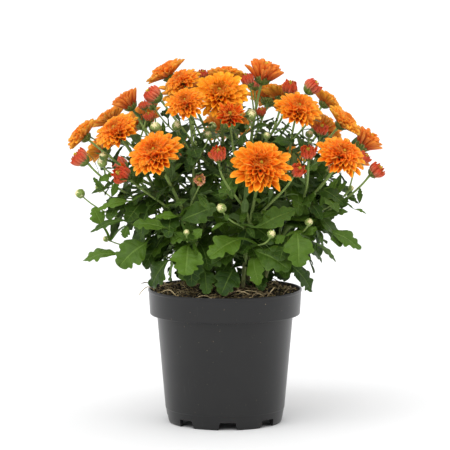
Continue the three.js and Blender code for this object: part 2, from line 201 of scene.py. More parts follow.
class Value:
    """What a node gives. Arithmetic on it adds Math nodes."""

    def __init__(self, nodes, socket):
        self.nodes, self.socket = nodes, socket

    def math(self, operation, *others):
        values = dict(enumerate((self, *others)))
        return self.nodes.add("ShaderNodeMath", {"operation": operation}, values)

    def back(self, operation, other):
        """The same with the other value first, as in 1 - mask."""
        return self.nodes.add("ShaderNodeMath", {"operation": operation}, {0: other, 1: self})

    __add__ = __radd__ = partialmethod(math, "ADD")
    __mul__ = __rmul__ = partialmethod(math, "MULTIPLY")
    __sub__, __rsub__ = partialmethod(math, "SUBTRACT"), partialmethod(back, "SUBTRACT")
    __truediv__, __rtruediv__ = partialmethod(math, "DIVIDE"), partialmethod(back, "DIVIDE")
    __pow__, __rpow__ = partialmethod(math, "POWER"), partialmethod(back, "POWER")

    def __neg__(self):
        return self * -1

    def clamped(self):
        return self.math("MAXIMUM", 0.0).math("MINIMUM", 1.0)

    def step(self, low, high):
        """0 below low, 1 above high, and smooth between them."""
        return self.nodes.add(
            "ShaderNodeMapRange",
            {"interpolation_type": "SMOOTHSTEP"},
            {"Value": self, "From Min": low, "From Max": high},
        )

    def between(self, low, high):
        """low where this is 0, and high where it is 1."""
        return low + self * (high - low)


class Nodes:
    """A node tree, with one method that adds any node."""

    def __init__(self, tree):
        self.tree = tree

    def add(self, kind, settings=None, values=None, out=0):
        """A new node with those settings, and then those values or links. It gives what comes out of it."""
        node = self.tree.nodes.new(kind)
        for name, setting in (settings or {}).items():
            setattr(node, name, setting)
        for key, value in (values or {}).items():
            socket = self.socket(node.inputs, key)
            if isinstance(value, (Value, list)):
                for part in value if isinstance(value, list) else [value]:
                    self.tree.links.new(part.socket, socket)
            else:
                socket.default_value = value
        if isinstance(out, tuple):
            return [Value(self, self.socket(node.outputs, key)) for key in out]
        return Value(self, self.socket(node.outputs, out))

    @staticmethod
    def socket(sockets, key):
        """The socket of that number, or the one in use that has that name."""
        if isinstance(key, str):
            return next(s for s in sockets if s.name == key and s.enabled)
        return sockets[key]


class Finish(Nodes):
    """The nodes of one material. Its shader is a Principled BSDF."""

    def __init__(self, name, **constants):
        self.material = bpy.data.materials.new(name)
        self.material.use_nodes = True
        super().__init__(self.material.node_tree)
        self.shader = next(n for n in self.tree.nodes if n.type == "BSDF_PRINCIPLED")
        for socket, value in constants.items():
            self.shader.inputs[socket.replace("_", " ")].default_value = value

    def object_place(self):
        return self.add("ShaderNodeTexCoord", out="Object")

    def mark(self, name):
        return self.add("ShaderNodeAttribute", {"attribute_name": name}, out="Fac")

    def noise(self, place, scale, detail=2.0, roughness=0.5):
        values = {"Vector": place, "Scale": scale, "Detail": detail, "Roughness": roughness}
        return self.add("ShaderNodeTexNoise", {}, values, out="Fac")

    def mixed(self, share, first, second):
        """The first colour where share is 0, and the second where it is 1."""
        first, second = ((*c, 1) if isinstance(c, tuple) else c for c in (first, second))
        return self.add("ShaderNodeMix", {"data_type": "RGBA"}, {0: share, 6: first, 7: second}, out=2)

    def layered(self, colour, *coats):
        """The colour under its coats. Each coat is its share and its colour, and the last lies on top."""
        for share, coat in coats:
            colour = self.mixed(share, colour, coat)
        return colour

    def feed(self, **values):
        for name, value in values.items():
            self.tree.links.new(value.socket, self.shader.inputs[name.replace("_", " ")])

    def bump(self, height, distance, strength=1.0):
        values = {"Height": height, "Distance": distance, "Strength": strength}
        self.feed(Normal=self.add("ShaderNodeBump", {}, values))


def hand_over(piece, slot_name, *nodes):
    """The finished piece stands for those nodes of the model, and moves with the whole plant."""
    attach(piece, "root")
    if nodes:
        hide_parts(*nodes)


plastic = Finish("moulded_grey_plastic", Roughness=0.35, Specular_IOR_Level=0.4)
place = plastic.object_place()
mottle = plastic.noise(place, 55.0, 3.0)
grain = plastic.noise(place, 1900.0, 2.0)
height = plastic.add("ShaderNodeSeparateXYZ", {}, {"Vector": place}, out="Z")
dust = plastic.noise(place, 620.0, 1.0, 0.4).step(0.775, 0.79) * height.step(0.055, 0.095).between(0.25, 1.0)
streaked = plastic.add("ShaderNodeMapping", {}, {"Vector": place, "Scale": (1.0, 1.0, 0.16)})
scuffs = plastic.noise(streaked, 260.0, 4.0, 0.75).step(0.62, 0.78)
plastic.feed(
    Base_Color=plastic.layered(
        plastic.mixed(mottle, (0.006, 0.006, 0.0065), (0.010, 0.010, 0.010)),
        (scuffs * 0.3, (0.06, 0.06, 0.058)),
        (dust * 0.6, (0.3, 0.24, 0.14)),
    ),
    Roughness=(mottle.between(0.28, 0.38) + scuffs * 0.14).clamped(),
)
plastic.bump(grain * 0.5 + mottle * 0.5, 0.00006, 0.5)
pot.data.materials.clear()
pot.data.materials.append(plastic.material)
hand_over(pot, "pot", "pot")


# ---- Soil ---------------------------------------------------------------------------------------
# Moist peat, pressed into the pot up to just under the rim. Its top is lumpy and strewn with crumbs,
# bits of bark, and straw-coloured fibres and root ends that lie across it.

SOIL_EDGE_RADIUS = 0.0582
SOIL_EDGE_HEIGHT = 0.1022
SOIL_CROWN_HEIGHT = 0.1078
SOIL_RINGS = 44
STEPS_ROUND_SOIL = 150
# The sides of the soil below its top, as (radius, height), from the collar down.
SOIL_SIDES = [(0.0566, 0.0868), (0.0511, 0.0866), (0.0446, 0.012), (0.0436, 0.0084)]
LUMPS = 70, 0.0016  # how many to the metre, and how high
CLODS = 340, 0.0006
MM = 0.001


def soil_height(x, y):
    """Height of the lumpy top of the soil."""
    share = min(1.0, math.hypot(x, y) / SOIL_EDGE_RADIUS)
    crown = SOIL_EDGE_HEIGHT + (SOIL_CROWN_HEIGHT - SOIL_EDGE_HEIGHT) * (1 - share**2)
    lumps = noise.fractal(Vector((x * LUMPS[0], y * LUMPS[0], 3.1)), 0.7, 2.1, 4) * LUMPS[1]
    clods = noise.noise(Vector((x * CLODS[0], y * CLODS[0], 7.7))) * CLODS[1]
    return crown + lumps + clods


points, rings = [(0, 0, soil_height(0, 0))], [[0] * STEPS_ROUND_SOIL]
for ring in range(1, SOIL_RINGS + 1):
    radius = SOIL_EDGE_RADIUS * (ring / SOIL_RINGS) ** 0.8
    rings.append(range(len(points), len(points) + STEPS_ROUND_SOIL))
    points += [(x, y, soil_height(x, y)) for x, y in ring_round(radius, STEPS_ROUND_SOIL, 0.5 * (ring % 2))]
for radius, height in SOIL_SIDES:
    rings.append(range(len(points), len(points) + STEPS_ROUND_SOIL))
    points += [(x, y, height) for x, y in ring_round(radius, STEPS_ROUND_SOIL)]
soil = mesh_object("soil_body", points, bands(rings, turned_over=True) + [list(reversed(rings[-1]))])

peat = Finish("moist_peat", Roughness=0.9)
place = peat.object_place()
fine = peat.noise(place, 900.0, 4.0, 0.7)
broad = peat.noise(place, 160.0, 3.0, 0.6)
peat.feed(Base_Color=peat.layered(
    peat.mixed(broad.step(0.35, 0.7), (0.012, 0.007, 0.004), (0.05, 0.03, 0.014)),
    (fine.step(0.58, 0.75) * 0.7, (0.13, 0.075, 0.035)),
))
peat.bump(fine + broad, 0.0012, 0.9)
soil.data.materials.append(peat.material)


class Growth(Nodes):
    """A Geometry Nodes tree with named inputs. It ends by realising what it made."""

    kinds = {"whole": "NodeSocketInt", "number": "NodeSocketFloat", "material": "NodeSocketMaterial",
             "group": "NodeSocketCollection"}

    def __init__(self, name, **inputs):
        super().__init__(bpy.data.node_groups.new(name, "GeometryNodeTree"))
        face = self.tree.interface
        face.new_socket("Geometry", in_out="INPUT", socket_type="NodeSocketGeometry")
        for label, kind in inputs.items():
            face.new_socket(label, in_out="INPUT", socket_type=self.kinds[kind])
        face.new_socket("Geometry", in_out="OUTPUT", socket_type="NodeSocketGeometry")
        entry = self.tree.nodes.new("NodeGroupInput")
        self.given = {s.name: Value(self, s) for s in entry.outputs if s.name}

    def stored(self, name):
        """A mark on what the tree works on."""
        settings = {"data_type": "FLOAT"}
        return self.add("GeometryNodeInputNamedAttribute", settings, {"Name": name}, out="Attribute")

    def chance(self, low, high, seed):
        """A random number between low and high for each point or copy."""
        values = {"Min": low, "Max": high, "Seed": seed}
        return self.add("FunctionNodeRandomValue", {"data_type": "FLOAT"}, values, out="Value")

    def triple(self, x, y, z):
        return self.add("ShaderNodeCombineXYZ", {}, {"X": x, "Y": y, "Z": z})

    def vector(self, operation, *parts, out=0):
        settings = {"operation": operation}
        return self.add("ShaderNodeVectorMath", settings, dict(enumerate(parts)), out=out)

    def scaled(self, vector, factor):
        return self.add("ShaderNodeVectorMath", {"operation": "SCALE"}, {"Vector": vector, "Scale": factor})

    def placed(self, points, templates, which, rotation, scale):
        """One of the group's pieces on each point, picked by its number in the order of names."""
        group = self.add(
            "GeometryNodeCollectionInfo", {},
            {"Collection": templates, "Separate Children": True, "Reset Children": True},
        )
        return self.add(
            "GeometryNodeInstanceOnPoints", {},
            {"Points": points, "Instance": group, "Pick Instance": True,
             "Instance Index": which, "Rotation": rotation, "Scale": scale},
        )

    def marked(self, instances, **marks):
        """The copies, each with those marks, which their meshes keep."""
        for name, value in marks.items():
            instances = self.add(
                "GeometryNodeStoreNamedAttribute", {"data_type": "FLOAT", "domain": "INSTANCE"},
                {"Geometry": instances, "Name": name, "Value": value},
            )
        return instances

    def finish(self, made, material, **other_coats):
        """Realises the copies and coats them. The other coats go on what has the mark of that name."""
        real = self.add("GeometryNodeRealizeInstances", {}, {"Geometry": made})
        smooth = self.add("GeometryNodeSetShadeSmooth", {}, {"Geometry": real})
        coated = self.add("GeometryNodeSetMaterial", {}, {"Geometry": smooth, "Material": material})
        for mark, coat in other_coats.items():
            values = {"Geometry": coated, "Selection": self.stored(mark), "Material": coat}
            coated = self.add("GeometryNodeSetMaterial", {}, values)
        end = self.tree.nodes.new("NodeGroupOutput")
        self.tree.links.new(coated.socket, end.inputs[0])
        return self

    def grow(self, host, **values):
        """Runs the tree on the host, and leaves the host as the plain mesh that comes out."""
        run = host.modifiers.new(self.tree.name, "NODES")
        run.node_group = self.tree
        for item in self.tree.interface.items_tree:
            if item.in_out == "INPUT" and item.name in values:
                run[item.identifier] = values[item.name]
        return plain(host)


def template_group(name, objects):
    """A collection that only holds shapes for a tree to repeat. It isn't part of the scene."""
    group = bpy.data.collections.new(name)
    for made in objects:
        bpy.context.scene.collection.objects.unlink(made)
        group.objects.link(made)
    return group


def crumb(name, seed):
    """A rough lump of peat of unit size, with a few dozen faces."""
    points, faces = turned([(0, -0.5), (0.46, -0.15), (0.38, 0.3), (0, 0.5)], 6)
    shift = Vector((seed * 5.7, 0, 0))
    points = [Vector(p) * (1 + 0.75 * noise.noise(Vector(p) * 2.3 + shift)) for p in points]
    return mesh_object(name, points, faces)


def strand(name, line, radius, sides):
    """A closed thin tube along a line of points, tapered to both ends."""
    points, last = [], len(line) - 1
    line = [Vector(p) for p in line]
    aside = Vector((0, 0, 1)).cross(line[1] - line[0]).normalized()
    for k, p in enumerate(line):
        heading = (line[min(k + 1, last)] - line[max(k - 1, 0)]).normalized()
        aside = (aside - heading * aside.dot(heading)).normalized()
        taper = radius * (0.35 + 0.65 * math.sin(math.pi * (0.12 + 0.76 * k / last)))
        for i in range(sides):
            turn = 2 * math.pi * i / sides
            points.append(p + aside * math.cos(turn) * taper + heading.cross(aside) * math.sin(turn) * taper)
    rings = [range(k * sides, (k + 1) * sides) for k in range(len(line))]
    return mesh_object(name, points, bands(rings) + [list(reversed(rings[0])), list(rings[-1])])


def tinted(made, tint):
    """Gives the whole piece one tint, from 0 to 1."""
    write_marks(made.data, {"tint": [tint] * len(made.data.vertices)})
    return made


def fibre(name, curl, wave):
    """A dry fibre of unit length that lies along +X."""
    line = [(t - 0.5, wave * math.sin(5 * t + curl), curl * t * (1 - t)) for t in np.linspace(0, 1, 7)]
    return strand(name, line, 0.024, sides=4)


scatter = Growth(
    "strewn_bits", How_many="number", Templates="group", Kinds="whole", Smallest="number", Largest="number",
    Flatness="number", Lift="number", Within="number", Seed="whole", Material="material",
)
given = scatter.given
normal = scatter.add("GeometryNodeInputNormal")
upward = scatter.vector("DOT_PRODUCT", normal, (0.0, 0.0, 1.0), out="Value")
spot = scatter.add("GeometryNodeInputPosition")
far = scatter.vector("LENGTH", scatter.vector("MULTIPLY", spot, (1.0, 1.0, 0.0)), out="Value")
top = upward.math("GREATER_THAN", 0.3) * (given["Within"] - far).math("GREATER_THAN", 0.0)
spots = scatter.add(
    "GeometryNodeDistributePointsOnFaces", {},
    {"Mesh": given["Geometry"], "Selection": top, "Density": given["How_many"], "Seed": given["Seed"]},
)
size = scatter.chance(0.0, 1.0, 11) ** 2.2
size = given["Smallest"] + size * (given["Largest"] - given["Smallest"])
turn = scatter.triple(
    scatter.chance(-1.0, 1.0, 12) * given["Lift"], scatter.chance(-1.0, 1.0, 13) * given["Lift"],
    scatter.chance(0.0, 6.28, 14),
)
which = (scatter.chance(0.0, 0.999, 15) * given["Kinds"]).math("FLOOR")
bits = scatter.placed(
    spots, given["Templates"], which, turn, scatter.triple(size, size, size * given["Flatness"])
)
bits = scatter.marked(bits, tint=scatter.chance(0.0, 1.0, 16))
scatter.finish(bits, given["Material"])

crumbs = template_group("peat_crumbs", [crumb(f"crumb_{i}", i) for i in range(5)])
fibres = template_group(
    "dry_fibres", [fibre(f"fibre_{i}", 0.12 + 0.11 * i, 0.05 + 0.03 * i) for i in range(4)]
)
litter = Finish("peat_crumb", Roughness=0.9)
place = litter.object_place()
tint = litter.mark("tint")
fine = litter.noise(place, 1500.0, 3.0)
dark = litter.mixed(tint.step(0.25, 0.7), (0.006, 0.004, 0.0025), (0.12, 0.082, 0.032))
pale = litter.mixed(tint.step(0.68, 0.95), dark, (0.58, 0.44, 0.2))
litter.feed(Base_Color=litter.mixed(fine * 0.35, pale, (0.03, 0.018, 0.01)))
litter.bump(fine, 0.0004, 0.8)

straw = Finish("dry_straw_fibre", Roughness=0.7)
tint = straw.mark("tint")
along = straw.noise(straw.object_place(), 600.0, 2.0)
tan = straw.mixed(tint.step(0.2, 0.9), (0.09, 0.055, 0.022), (0.7, 0.54, 0.29))
straw.feed(Base_Color=straw.mixed(along.step(0.45, 0.75) * 0.4, tan, (0.74, 0.6, 0.36)))
straw.bump(along, 0.0001, 0.5)


def soil_sheet(name):
    """A copy of the soil's mesh for a tree to strew bits over."""
    made = object_of(name, soil.data.copy())
    made.data.materials.clear()
    return made


crumb_layer = scatter.grow(
    soil_sheet("soil_crumbs"), How_many=420000.0, Templates=crumbs, Kinds=5, Smallest=0.0008,
    Largest=0.0046, Flatness=0.85, Lift=0.9, Within=0.0562, Seed=4, Material=litter.material,
)
fibre_layer = scatter.grow(
    soil_sheet("soil_fibres"), How_many=150000.0, Templates=fibres, Kinds=4, Smallest=0.0025,
    Largest=0.014, Flatness=1.2, Lift=0.55, Within=0.0515, Seed=9, Material=straw.material,
)

# Longer straws and root ends that lie on top, most of them along the front edge, and some that hang out past
# the rim: the points of each, in millimetres, and its thickness.
LONG_STRAWS = [
    ([(-49, -29, 105), (-46, -33, 108), (-42, -36, 108.5), (-39, -39, 106), (-37, -41, 103.5)], 0.5),
    ([(-44, -34, 104), (-45, -31, 109), (-41, -29, 110), (-38, -30, 106)], 0.4),
    ([(-3, -56, 104), (2, -55, 107), (7, -53, 109.5), (11, -50, 111), (14, -48, 110)], 0.65),
    ([(-1, -54, 105), (4, -52, 108.5), (9, -51, 110), (15, -51, 109), (19, -50, 106.5)], 0.5),
    ([(32, -45, 104), (35, -44, 108), (38, -43, 111.5)], 0.55),
    ([(27, -50, 104), (30, -48, 107), (34, -47, 108), (38, -45, 105)], 0.45),
    ([(44, -38, 104), (47, -35, 108), (51, -32, 112)], 0.6),
    ([(-22, -51, 104), (-18, -52, 106.5), (-13, -53, 106), (-9, -55, 103.5)], 0.4),
    ([(-56, -13, 106), (-60, -14, 108.5), (-64, -16, 105.5), (-67, -17, 101.5)], 0.5),
    ([(-52, -16, 106), (-57, -15, 110.5), (-62, -15, 111.5), (-65, -15, 110.5)], 0.6),
    ([(20, -53, 104), (22, -50, 107.5), (27, -47, 107), (30, -48, 104)], 0.4),
    ([(10, -45, 106), (16, -42, 109), (23, -41, 108), (29, -42, 105)], 0.45),
    ([(-30, 44, 104), (-22, 47, 108), (-12, 49, 106.5), (-4, 51, 104)], 0.5),
    ([(30, 40, 105), (36, 37, 108.5), (41, 31, 107), (45, 26, 104.5)], 0.5),
]
STRAW_RADIUS = 0.7 * MM  # for a thickness of 1
for number, (line, thick) in enumerate(LONG_STRAWS, start=1):
    dense = [Vector(a).lerp(Vector(b), k / 3) for a, b in zip(line, line[1:]) for k in range(3)]
    dense.append(Vector(line[-1]))
    for _ in range(2):
        middle = [(a + 2 * b + c) / 4 for a, b, c in zip(dense, dense[1:], dense[2:])]
        dense = [dense[0], *middle, dense[-1]]
    long_straw = strand(f"long_straw_{number:02}", [p * MM for p in dense], thick * STRAW_RADIUS, sides=7)
    tinted(long_straw, 0.55 + 0.4 * math.sin(number * 1.7))
    long_straw.data.materials.append(straw.material)
    hand_over(long_straw, "soil")
hand_over(soil, "soil", "soil")
hand_over(crumb_layer, "soil")
hand_over(fibre_layer, "soil")


# ---- Stems --------------------------------------------------------------------------------------
# Eight rooted cuttings share the pot. Each leader rises out of the soil and bends over to its own head, and
# thinner shoots leave it on the way up. They are soft, green and ridged lengthwise, woody near the soil.

SOIL_CROWN = 103.5
ROOT_DEPTH = 22
CLEARANCE = 0.35
SEATS = {"flower": 0.22, "half_open": 0.46, "bud": 0.62}  # from a head's middle to its stem, in diameters
NODS = {"bud": 16, "green": 38}  # degrees that a young head nods
STEEPEST = 72  # degrees from upright that a head faces at most
LEADER_RADII = (1.9, 1.0)  # at the foot, under the head
SHOOT_RADII = (1.15, 0.8)
TWIG_RADII = (0.75, 0.55)
FORK_SWELLING = 0.45, 3.0  # how much thicker a shoot is at its foot, and how far up that fades out
NECK_SWELLING = 0.3, 2.2  # the same under its head
BARK_FOOT, BARK_FADE = 100, 110  # where stems are all bark, and how far above that they are all green

# Where each stem stands, and its heads, as in the model: kind, middle, diameter, lean from upright, bearing
# of the lean, and how far up the leader its shoot leaves. Millimetres and degrees.
STEMS = [
    ((13, -20), [
        ("flower", (27, -84, 209), 50, 55, 5),
        ("half_open", (4, -66, 246), 20, 58, 0, 0.28),
        ("bud", (-5, -82, 218), 12.5, 22, -5, 0.5),
        ("bud", (55, -76, 205), 12.5, 42, 25, 0.44),
        ("green", (-3, -92, 178), 8.5, 40, -30, 0.4),
        ("green", (35, -88, 158), 7.5, 45, 15, 0.3),
    ]),
    ((-14, -18), [
        ("flower", (-53, -68, 217), 46, 46, -22),
        ("flower", (-30, -50, 254), 34, 44, -15, 0.3),
        ("bud", (-79, -57, 200), 14, 50, -45, 0.42),
        ("opening", (-19, -88, 199), 11, 65, -5, 0.46),
        ("green", (-53, -46, 235), 10, 12, -20, 0.6),
        ("green", (-29, -86, 159), 5.5, 30, 0, 0.36),
    ]),
    ((27, -10), [
        ("flower", (89, -58, 215), 42, 44, 30),
        ("flower", (56, -46, 249), 40, 40, 18, 0.3),
        ("bud", (63, -69, 218), 12, 26, -2, 0.5),
        ("bud", (117, -24, 200), 12, 36, 70, 0.28),
        ("flower", (92, -16, 237), 34, 44, 72, 0.36),
        ("green", (64, -62, 164), 7, 35, 25, 0.34),
        ("green", (97, -26, 186), 5.5, 35, 60, 0.42),
        ("green", (65, -26, 228), 7, 14, 20, 0.55),
    ]),
    ((-26, -4), [
        ("flower", (-83, -42, 232), 40, 42, -42),
        ("flower", (-111, -12, 227), 34, 50, -95, 0.42),
        ("bud", (-112, -27, 210), 13.5, 38, -78, 0.36),
        ("half_open", (-77, 0, 253), 23, 34, -78, 0.4),
        ("green", (-112, -26, 182), 8.5, 42, -75, 0.22),
        ("green", (-94, -44, 208), 9, 25, -30, 0.62),
        ("green", (-92, -28, 147), 5.5, 62, -70, 0.16),
    ]),
    ((2, -3), [
        ("flower", (-4, -32, 260), 46, 50, -3),
        ("flower", (-34, -13, 268.5), 33, 34, -50, 0.42),
        ("flower", (-46, 11, 273.5), 36, 31, -88, 0.3),
        ("bud", (-56, -14, 258), 14, 36, -82, 0.36),
        ("green", (20, -34, 243), 9.5, 8, 10, 0.6),
        ("green", (-37, -36, 235), 8.5, 20, 10, 0.5),
        ("green", (32, -40, 228), 6.5, 14, 10, 0.45),
    ]),
    ((18, 10), [
        ("half_open", (31, -2, 276.5), 28, 14, 80),
        ("flower", (0, 22, 270), 36, 16, 180, 0.5),
        ("bud", (50, -18, 264), 13, 14, 10, 0.55),
        ("flower", (44, 22, 256), 32, 24, 170, 0.46),
        ("bud", (68, 4, 263), 13, 24, 90, 0.42),
        ("flower", (80, 26, 250), 31, 42, 110, 0.34),
        ("half_open", (112, 10, 221), 25, 42, 88, 0.22),
        ("green", (76, 4, 228), 9, 12, 60, 0.3),
    ]),
    ((-15, 14), [
        ("flower", (-33, 58, 258), 42, 34, -155),
        ("flower", (-91, 18, 236.5), 33, 36, -110, 0.36),
        ("flower", (-98, 42, 212), 38, 48, -115, 0.28),
        ("flower", (-68, 62, 232), 40, 44, -135, 0.4),
        ("bud", (-84, 72, 196), 14, 46, -130, 0.22),
        ("green", (-100, 58, 178), 8.5, 50, -120, 0.16),
        ("green", (-58, 26, 252), 9, 14, -120, 0.62),
        ("green", (-40, 96, 172), 7, 44, -160, 0.3),
    ]),
    ((5, 26), [
        ("flower", (2, 84, 226), 46, 50, 180),
        ("flower", (36, 62, 251), 42, 36, 150, 0.36),
        ("flower", (78, 60, 226), 41, 46, 128, 0.28),
        ("flower", (46, 86, 201), 40, 56, 155, 0.4),
        ("flower", (-44, 87, 203), 42, 56, -155, 0.34),
        ("half_open", (102, 42, 207), 26, 46, 112, 0.2),
        ("bud", (82, 82, 192), 14, 44, 138, 0.24),
        ("green", (2, 96, 184), 9, 46, 178, 0.46),
        ("green", (14, 60, 250), 8.5, 18, 170, 0.55),
        ("green", (88, 66, 170), 8, 48, 125, 0.14),
    ]),
]


def leaning(lean, bearing):
    """Direction that leans from upright towards a bearing, which is 0 at the front and 90 towards +X."""
    tilt, turn = math.radians(lean), math.radians(bearing)
    return Vector((math.sin(tilt) * math.sin(turn), -math.sin(tilt) * math.cos(turn), math.cos(tilt)))


class Bend:
    """The line of a shoot: a cubic Bezier in millimetres."""

    def __init__(self, start, rise, fall, end):
        self.corners = start, rise, fall, end

    def at(self, t):
        a, b, c, d = self.corners
        return a * (1 - t) ** 3 + b * 3 * t * (1 - t) ** 2 + c * 3 * t * t * (1 - t) + d * t**3

    def heading(self, t):
        a, b, c, d = self.corners
        return ((b - a) * (1 - t) ** 2 + (c - b) * 2 * t * (1 - t) + (d - c) * t * t).normalized()

    def length(self):
        points = [self.at(i / 24) for i in range(25)]
        return sum((q - p).length for p, q in zip(points, points[1:]))


def head_facing(kind, lean, bearing):
    """The way that a head faces. Young ones nod further than their shoots lean, except at the back."""
    nod = NODS.get(kind, 0) if abs(bearing) < 100 else 0
    return leaning(min(lean + nod, STEEPEST), bearing)


def shoot_end(kind, middle, across, lean, bearing, *_):
    """Where the shoot of a head ends, and the way that it leans there."""
    drop = SEATS[kind] * across + CLEARANCE if kind in SEATS else 0
    return Vector(middle) - head_facing(kind, lean, bearing) * drop, leaning(lean, bearing)


def leader_line(root, head):
    end, facing = shoot_end(*head)
    start = Vector((*root, SOIL_CROWN - ROOT_DEPTH))
    reach = (end - start).length
    return Bend(start, start + Vector((0, 0, 0.45 * reach)), end - facing * 0.3 * reach, end)


def side_shoot(parent, along, end, facing):
    """The line of a shoot that leaves its parent there, and ends in a head that leans that way."""
    fork = parent.at(along)
    reach = (end - fork).length
    return Bend(fork, fork + parent.heading(along) * 0.3 * reach, end - facing * 0.35 * reach, end)


def line_host(name, lines):
    """A mesh of bare lines for a tree to work on. Each line is its points and a value there for each mark."""
    points, edges, marks = [], [], {}
    for line, values in lines:
        edges += [(len(points) + i, len(points) + i + 1) for i in range(len(line) - 1)]
        points += [tuple(p) for p in line]
        for mark, given_values in values.items():
            marks.setdefault(mark, []).extend(given_values)
    mesh = bpy.data.meshes.new(name)
    mesh.from_pydata(points, edges, [])
    write_marks(mesh, marks)
    return object_of(name, mesh)


def swelling(amount, reach, away):
    return amount * math.exp(-((away / reach) ** 2))


def stem_points(line, radii, count):
    """A shoot's points in metres, with its radius and the age of its rind there."""
    places = [i / (count - 1) for i in range(count)]
    length = line.length()
    thick = [
        (radii[0] + (radii[1] - radii[0]) * t)
        * (1 + swelling(*FORK_SWELLING, t * length) + swelling(*NECK_SWELLING, (1 - t) * length)) * MM
        for t in places
    ]
    age = [max(0.0, 1 - (line.at(t).z - BARK_FOOT) / BARK_FADE) for t in places]
    return [line.at(t) * MM for t in places], {"thickness": thick, "age": age}


tubes = Growth("stem_tubes", Ridges="whole", Groove="number", Material="material")
given = tubes.given
lines = tubes.add("GeometryNodeMeshToCurve", {}, {"Mesh": given["Geometry"]})
section = tubes.add(
    "GeometryNodeCurveStar", {},
    {"Points": given["Ridges"], "Inner Radius": 1.0 - given["Groove"], "Outer Radius": 1.04},
    out="Curve",
)
tubes.finish(
    tubes.add(
        "GeometryNodeCurveToMesh", {},
        {"Curve": lines, "Profile Curve": section, "Scale": tubes.stored("thickness"), "Fill Caps": True},
    ),
    given["Material"],
)

rind = Finish("ridged_green_stem", Roughness=0.5, Specular_IOR_Level=0.15)
place = rind.object_place()
stretched = rind.add("ShaderNodeMapping", {}, {"Vector": place, "Scale": (1.0, 1.0, 0.2)})
streaks = rind.noise(stretched, 1400.0, 3.0, 0.6)
patches = rind.noise(place, 90.0, 2.0)
age = rind.mark("age")
green = rind.mixed(streaks.step(0.3, 0.7), (0.17, 0.26, 0.055), (0.31, 0.40, 0.13))
green = rind.mixed(patches.step(0.35, 0.7) * 0.5, green, (0.2, 0.31, 0.08))
bark = rind.mixed(streaks.step(0.35, 0.65), (0.12, 0.09, 0.05), (0.26, 0.21, 0.12))
woody = (age + (patches - 0.5) * 0.5).step(0.72, 0.98)
rind.feed(Base_Color=rind.mixed(woody, green, bark), Roughness=woody.between(0.48, 0.8))
rind.bump(streaks, 0.00025, 0.7)


def stem_of(name, parts):
    """The parts of a stem as one ridged piece."""
    return tubes.grow(line_host(name, parts), Ridges=6, Groove=0.12, Material=rind.material)


shoot_lines = []  # for each stem, the line of each of its heads' shoots
for number, (root, heads) in enumerate(STEMS, start=1):
    leader = leader_line(root, heads[0])
    shoots = [leader] + [side_shoot(leader, head[5], *shoot_end(*head)) for head in heads[1:]]
    shoot_lines.append(shoots)
    parts = [stem_points(leader, LEADER_RADII, 56)]
    for head, line in zip(heads[1:], shoots[1:]):
        radii, count = (SHOOT_RADII, 30) if head[0] in SEATS else (TWIG_RADII, 20)
        parts.append(stem_points(line, radii, count))
    hand_over(stem_of(f"stem_{number:02}_tubes", parts), "stem", f"stem_{number:02}")


# ---- Leaves -------------------------------------------------------------------------------------
# Soft green leaves, each one blade that is cut into rounded, toothed lobes, with sunken veins, on a short
# channelled stalk. The large ones hang round the lower half of the plant, and they get smaller up the shoots.

# The edge of one half of the blade, from the heel to the tip. Each point ends a rib: where the rib leaves the
# midrib and where its end lies along it, both as shares of the blade, how far out, as a share of half the
# width, and whether the rib is a vein.
LEAF_EDGE = [
    (0.00, 0.00, 0.07, 0), (0.03, 0.05, 0.13, 0), (0.06, 0.11, 0.24, 0), (0.10, 0.17, 0.39, 0),
    (0.14, 0.23, 0.54, 1), (0.18, 0.29, 0.67, 0), (0.22, 0.345, 0.79, 0), (0.26, 0.40, 0.88, 1),
    (0.30, 0.445, 0.91, 0), (0.33, 0.475, 0.86, 0), (0.36, 0.51, 0.93, 0), (0.40, 0.56, 1.00, 1),
    (0.43, 0.60, 0.98, 0), (0.46, 0.635, 0.88, 0), (0.49, 0.65, 0.70, 0), (0.52, 0.665, 0.58, 0),
    (0.56, 0.70, 0.60, 0), (0.60, 0.745, 0.70, 0), (0.64, 0.79, 0.73, 1), (0.68, 0.825, 0.66, 0),
    (0.71, 0.84, 0.50, 0), (0.75, 0.87, 0.45, 0), (0.79, 0.91, 0.46, 1), (0.83, 0.945, 0.41, 0),
    (0.87, 0.97, 0.32, 0), (0.91, 0.99, 0.21, 0), (0.95, 1.00, 0.10, 0), (1.00, 1.00, 0.03, 0),
]
LEAF_ARCH = 0.1  # rise of the middle of the blade over the line from heel to tip, as a share of it
FOLD, DROOP = 0.2, 0.34  # how the two halves rise from the midrib, and sink again to the edge
RIPPLE, PUFF, CHANNEL = 0.05, 0.014, 0.012  # of the edge, between the veins, and over the midrib, in widths
CHANNEL_WIDTH = 0.05
BLADE_THICKNESS, MIDRIB_THICKNESS, STALK_THICKNESS = 0.3, 0.75, 1.5
TRUE_THICKNESS_WIDTH = 26  # width of the leaf that has those thicknesses in millimetres
STALK_WIDTH = 1.8
SMALL_STALK_WIDTH = 0.05  # of a small leaf, as a share of its length
STALK_STEPS = 6


